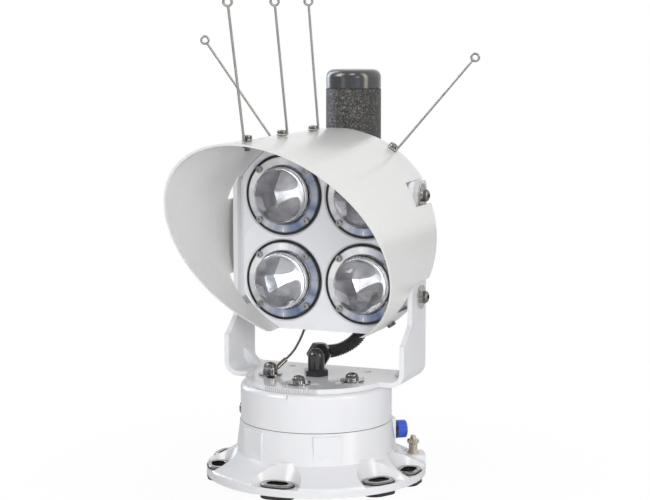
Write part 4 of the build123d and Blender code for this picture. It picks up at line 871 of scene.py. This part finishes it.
def makeFloor():
    # the camera sees an even white, which gives way a little to the floor's own shading near the object;
    # every other ray meets plain diffuse white
    made = bpy.data.materials.new("floorWhite")
    made.use_nodes = True
    tree = made.node_tree
    tree.nodes.clear()
    out = addNode(tree, "ShaderNodeOutputMaterial")
    diffuse = addNode(tree, "ShaderNodeBsdfDiffuse", {"Color": (*[ground["white"]] * 3, 1)})
    glow = addNode(tree, "ShaderNodeEmission", {"Color": (1, 1, 1, 1), "Strength": 1.0})
    away = calcVector(tree, "LENGTH", objectPlace(tree))
    near = ramp(tree, away, ground["near"], ground["glow"], "SMOOTHSTEP")
    seen = calc(tree, "MULTIPLY", addNode(tree, "ShaderNodeLightPath").outputs["Is Camera Ray"], near)
    mix = addNode(tree, "ShaderNodeMixShader", {0: seen, 1: diffuse.outputs[0], 2: glow.outputs[0]})
    tree.links.new(mix.outputs[0], out.inputs["Surface"])
    s = np.linspace(-ground["half"], ground["half"], ground["points"])
    x, y = np.meshgrid(s, s, indexing="ij")
    faces = gridFaces(len(s), len(s), closed=False)
    floor = newMesh("floor", np.stack([x, y, np.zeros_like(x)], -1), faces, None, made)
    print("floor")


panels = [  # azimuth from the front towards +X, height, half width, half height, all in degrees
    {"name": "softbox", "azimuth": -48, "height": 34, "wide": 15, "tall": 19, "light": (6.5, 6.4, 6.2)},
    {"name": "strip", "azimuth": 74, "height": 24, "wide": 8, "tall": 34, "light": (6.2, 5.7, 4.9)},
    {"name": "edge", "azimuth": -112, "height": 18, "wide": 12, "tall": 34, "light": (3.5, 4.0, 4.9)},
    {"name": "window", "azimuth": 12, "height": 52, "wide": 13, "tall": 9, "light": (7.0, 7.0, 7.0)},
    {"name": "card", "azimuth": -23, "height": -6, "wide": 7, "tall": 12, "light": (1.7, 1.7, 1.7)},
    {"name": "sky", "azimuth": 38, "height": 14, "wide": 8, "tall": 12, "light": (2.0, 2.4, 3.4)},
]
room = {
    "softEdge": (0.0, 0.02), "sweep": (-0.55, 0.55), "sweepLight": (0.34, 0.98),
    "ambient": (0.975, 0.98, 1.0, 1), "ambientLevel": 0.39,
}


def panelGroup():
    # light within half a width and half a height of the panel's centre, fading over a soft edge
    group, start, end = nodeGroup(
        "LightPanel",
        [("Azimuth", "NodeSocketFloat", 0.0), ("Height", "NodeSocketFloat", 0.0),
         ("Wide", "NodeSocketFloat", 0.2), ("Tall", "NodeSocketFloat", 0.2),
         ("Light", "NodeSocketVector", (1.0, 1.0, 1.0))],
        [("Light", "NodeSocketVector")])
    place = addNode(group, "ShaderNodeTexCoord").outputs["Generated"]
    split = addNode(group, "ShaderNodeSeparateXYZ", {"Vector": place})
    ahead = calc(group, "MULTIPLY", split.outputs["Y"], -1.0)
    turn = calc(group, "ARCTAN2", split.outputs["X"], ahead)
    rise = calc(group, "ARCSINE", split.outputs["Z"])
    light = start.outputs["Light"]
    for value, centre, half in ((turn, "Azimuth", "Wide"), (rise, "Height", "Tall")):
        off = calc(group, "ABSOLUTE", calc(group, "SUBTRACT", value, start.outputs[centre]))
        inside = calc(group, "SUBTRACT", start.outputs[half], off)
        light = calcVector(group, "SCALE", light, Scale=ramp(group, inside, room["softEdge"]))
    group.links.new(light, end.inputs["Light"])
    return group


def makeWorld():
    # reflections and refractions see the panels over a level that rises from the front to the back, the
    # camera sees white, and every other ray an even ambient
    world = bpy.data.worlds.new("studio")
    bpy.context.scene.world = world
    world.use_nodes = True
    tree = world.node_tree
    tree.nodes.clear()
    out = addNode(tree, "ShaderNodeOutputWorld")
    place = addNode(tree, "ShaderNodeTexCoord").outputs["Generated"]
    split = addNode(tree, "ShaderNodeSeparateXYZ", {"Vector": place})
    sweep = ramp(tree, split.outputs["Y"], room["sweep"], room["sweepLight"], "SMOOTHSTEP")
    level = addNode(tree, "ShaderNodeCombineXYZ", {k: sweep for k in "XYZ"}).outputs[0]
    shape = panelGroup()
    for panel in panels:
        one = addNode(tree, "ShaderNodeGroup", node_tree=shape)
        for socket in ("Azimuth", "Height", "Wide", "Tall"):
            one.inputs[socket].default_value = math.radians(panel[socket.lower()])
        one.inputs["Light"].default_value = panel["light"]
        level = calcVector(tree, "ADD", level, one.outputs["Light"])
    studio = addNode(tree, "ShaderNodeBackground", {"Color": level, "Strength": 1.0})
    ambient = addNode(tree, "ShaderNodeBackground", {"Color": room["ambient"],
                                                     "Strength": room["ambientLevel"]})
    white = addNode(tree, "ShaderNodeBackground", {"Color": (1, 1, 1, 1), "Strength": 1.0})
    ray = addNode(tree, "ShaderNodeLightPath")
    either = calc(tree, "MAXIMUM", ray.outputs["Is Glossy Ray"], ray.outputs["Is Transmission Ray"])
    soft = addNode(tree, "ShaderNodeMixShader", {0: either, 1: ambient.outputs[0], 2: studio.outputs[0]})
    whole = addNode(tree, "ShaderNodeMixShader", {0: ray.outputs["Is Camera Ray"], 1: soft.outputs[0],
                                                  2: white.outputs[0]})
    tree.links.new(whole.outputs[0], out.inputs["Surface"])
    print("room with", len(panels), "panels")


lampAim = Vector((0, 0, 0.2))
lamps = [
    {"name": "key", "at": (-1.15, -1.10, 1.15), "size": (0.9, 1.1), "power": 6.0},
    {"name": "fill", "at": (1.20, -1.30, 0.62), "size": (0.7, 1.0), "power": 15.5},
    {"name": "top", "at": (0.10, 0.25, 1.70), "size": (1.3, 1.3), "power": 7.5},
    {"name": "front", "at": (0.45, -1.80, 0.50), "size": (1.1, 0.6), "power": 6.0},
]


def makeLamps():
    # each lamp faces one point under the head and stays out of reflections, which the panels give
    for lamp in lamps:
        light = bpy.data.lights.new(lamp["name"], "AREA")
        light.shape = "RECTANGLE"
        light.size, light.size_y = lamp["size"]
        light.energy = lamp["power"]
        holder = bpy.data.objects.new(lamp["name"], light)
        bpy.context.scene.collection.objects.link(holder)
        holder.location = lamp["at"]
        holder.rotation_mode = "QUATERNION"
        holder.rotation_quaternion = (lampAim - holder.location).to_track_quat("-Z", "Y")
        holder.visible_glossy = False
    print("lamps", len(lamps))


makeFloor()
makeWorld()
makeLamps()
bpy.context.scene.view_settings.view_transform = "Standard"
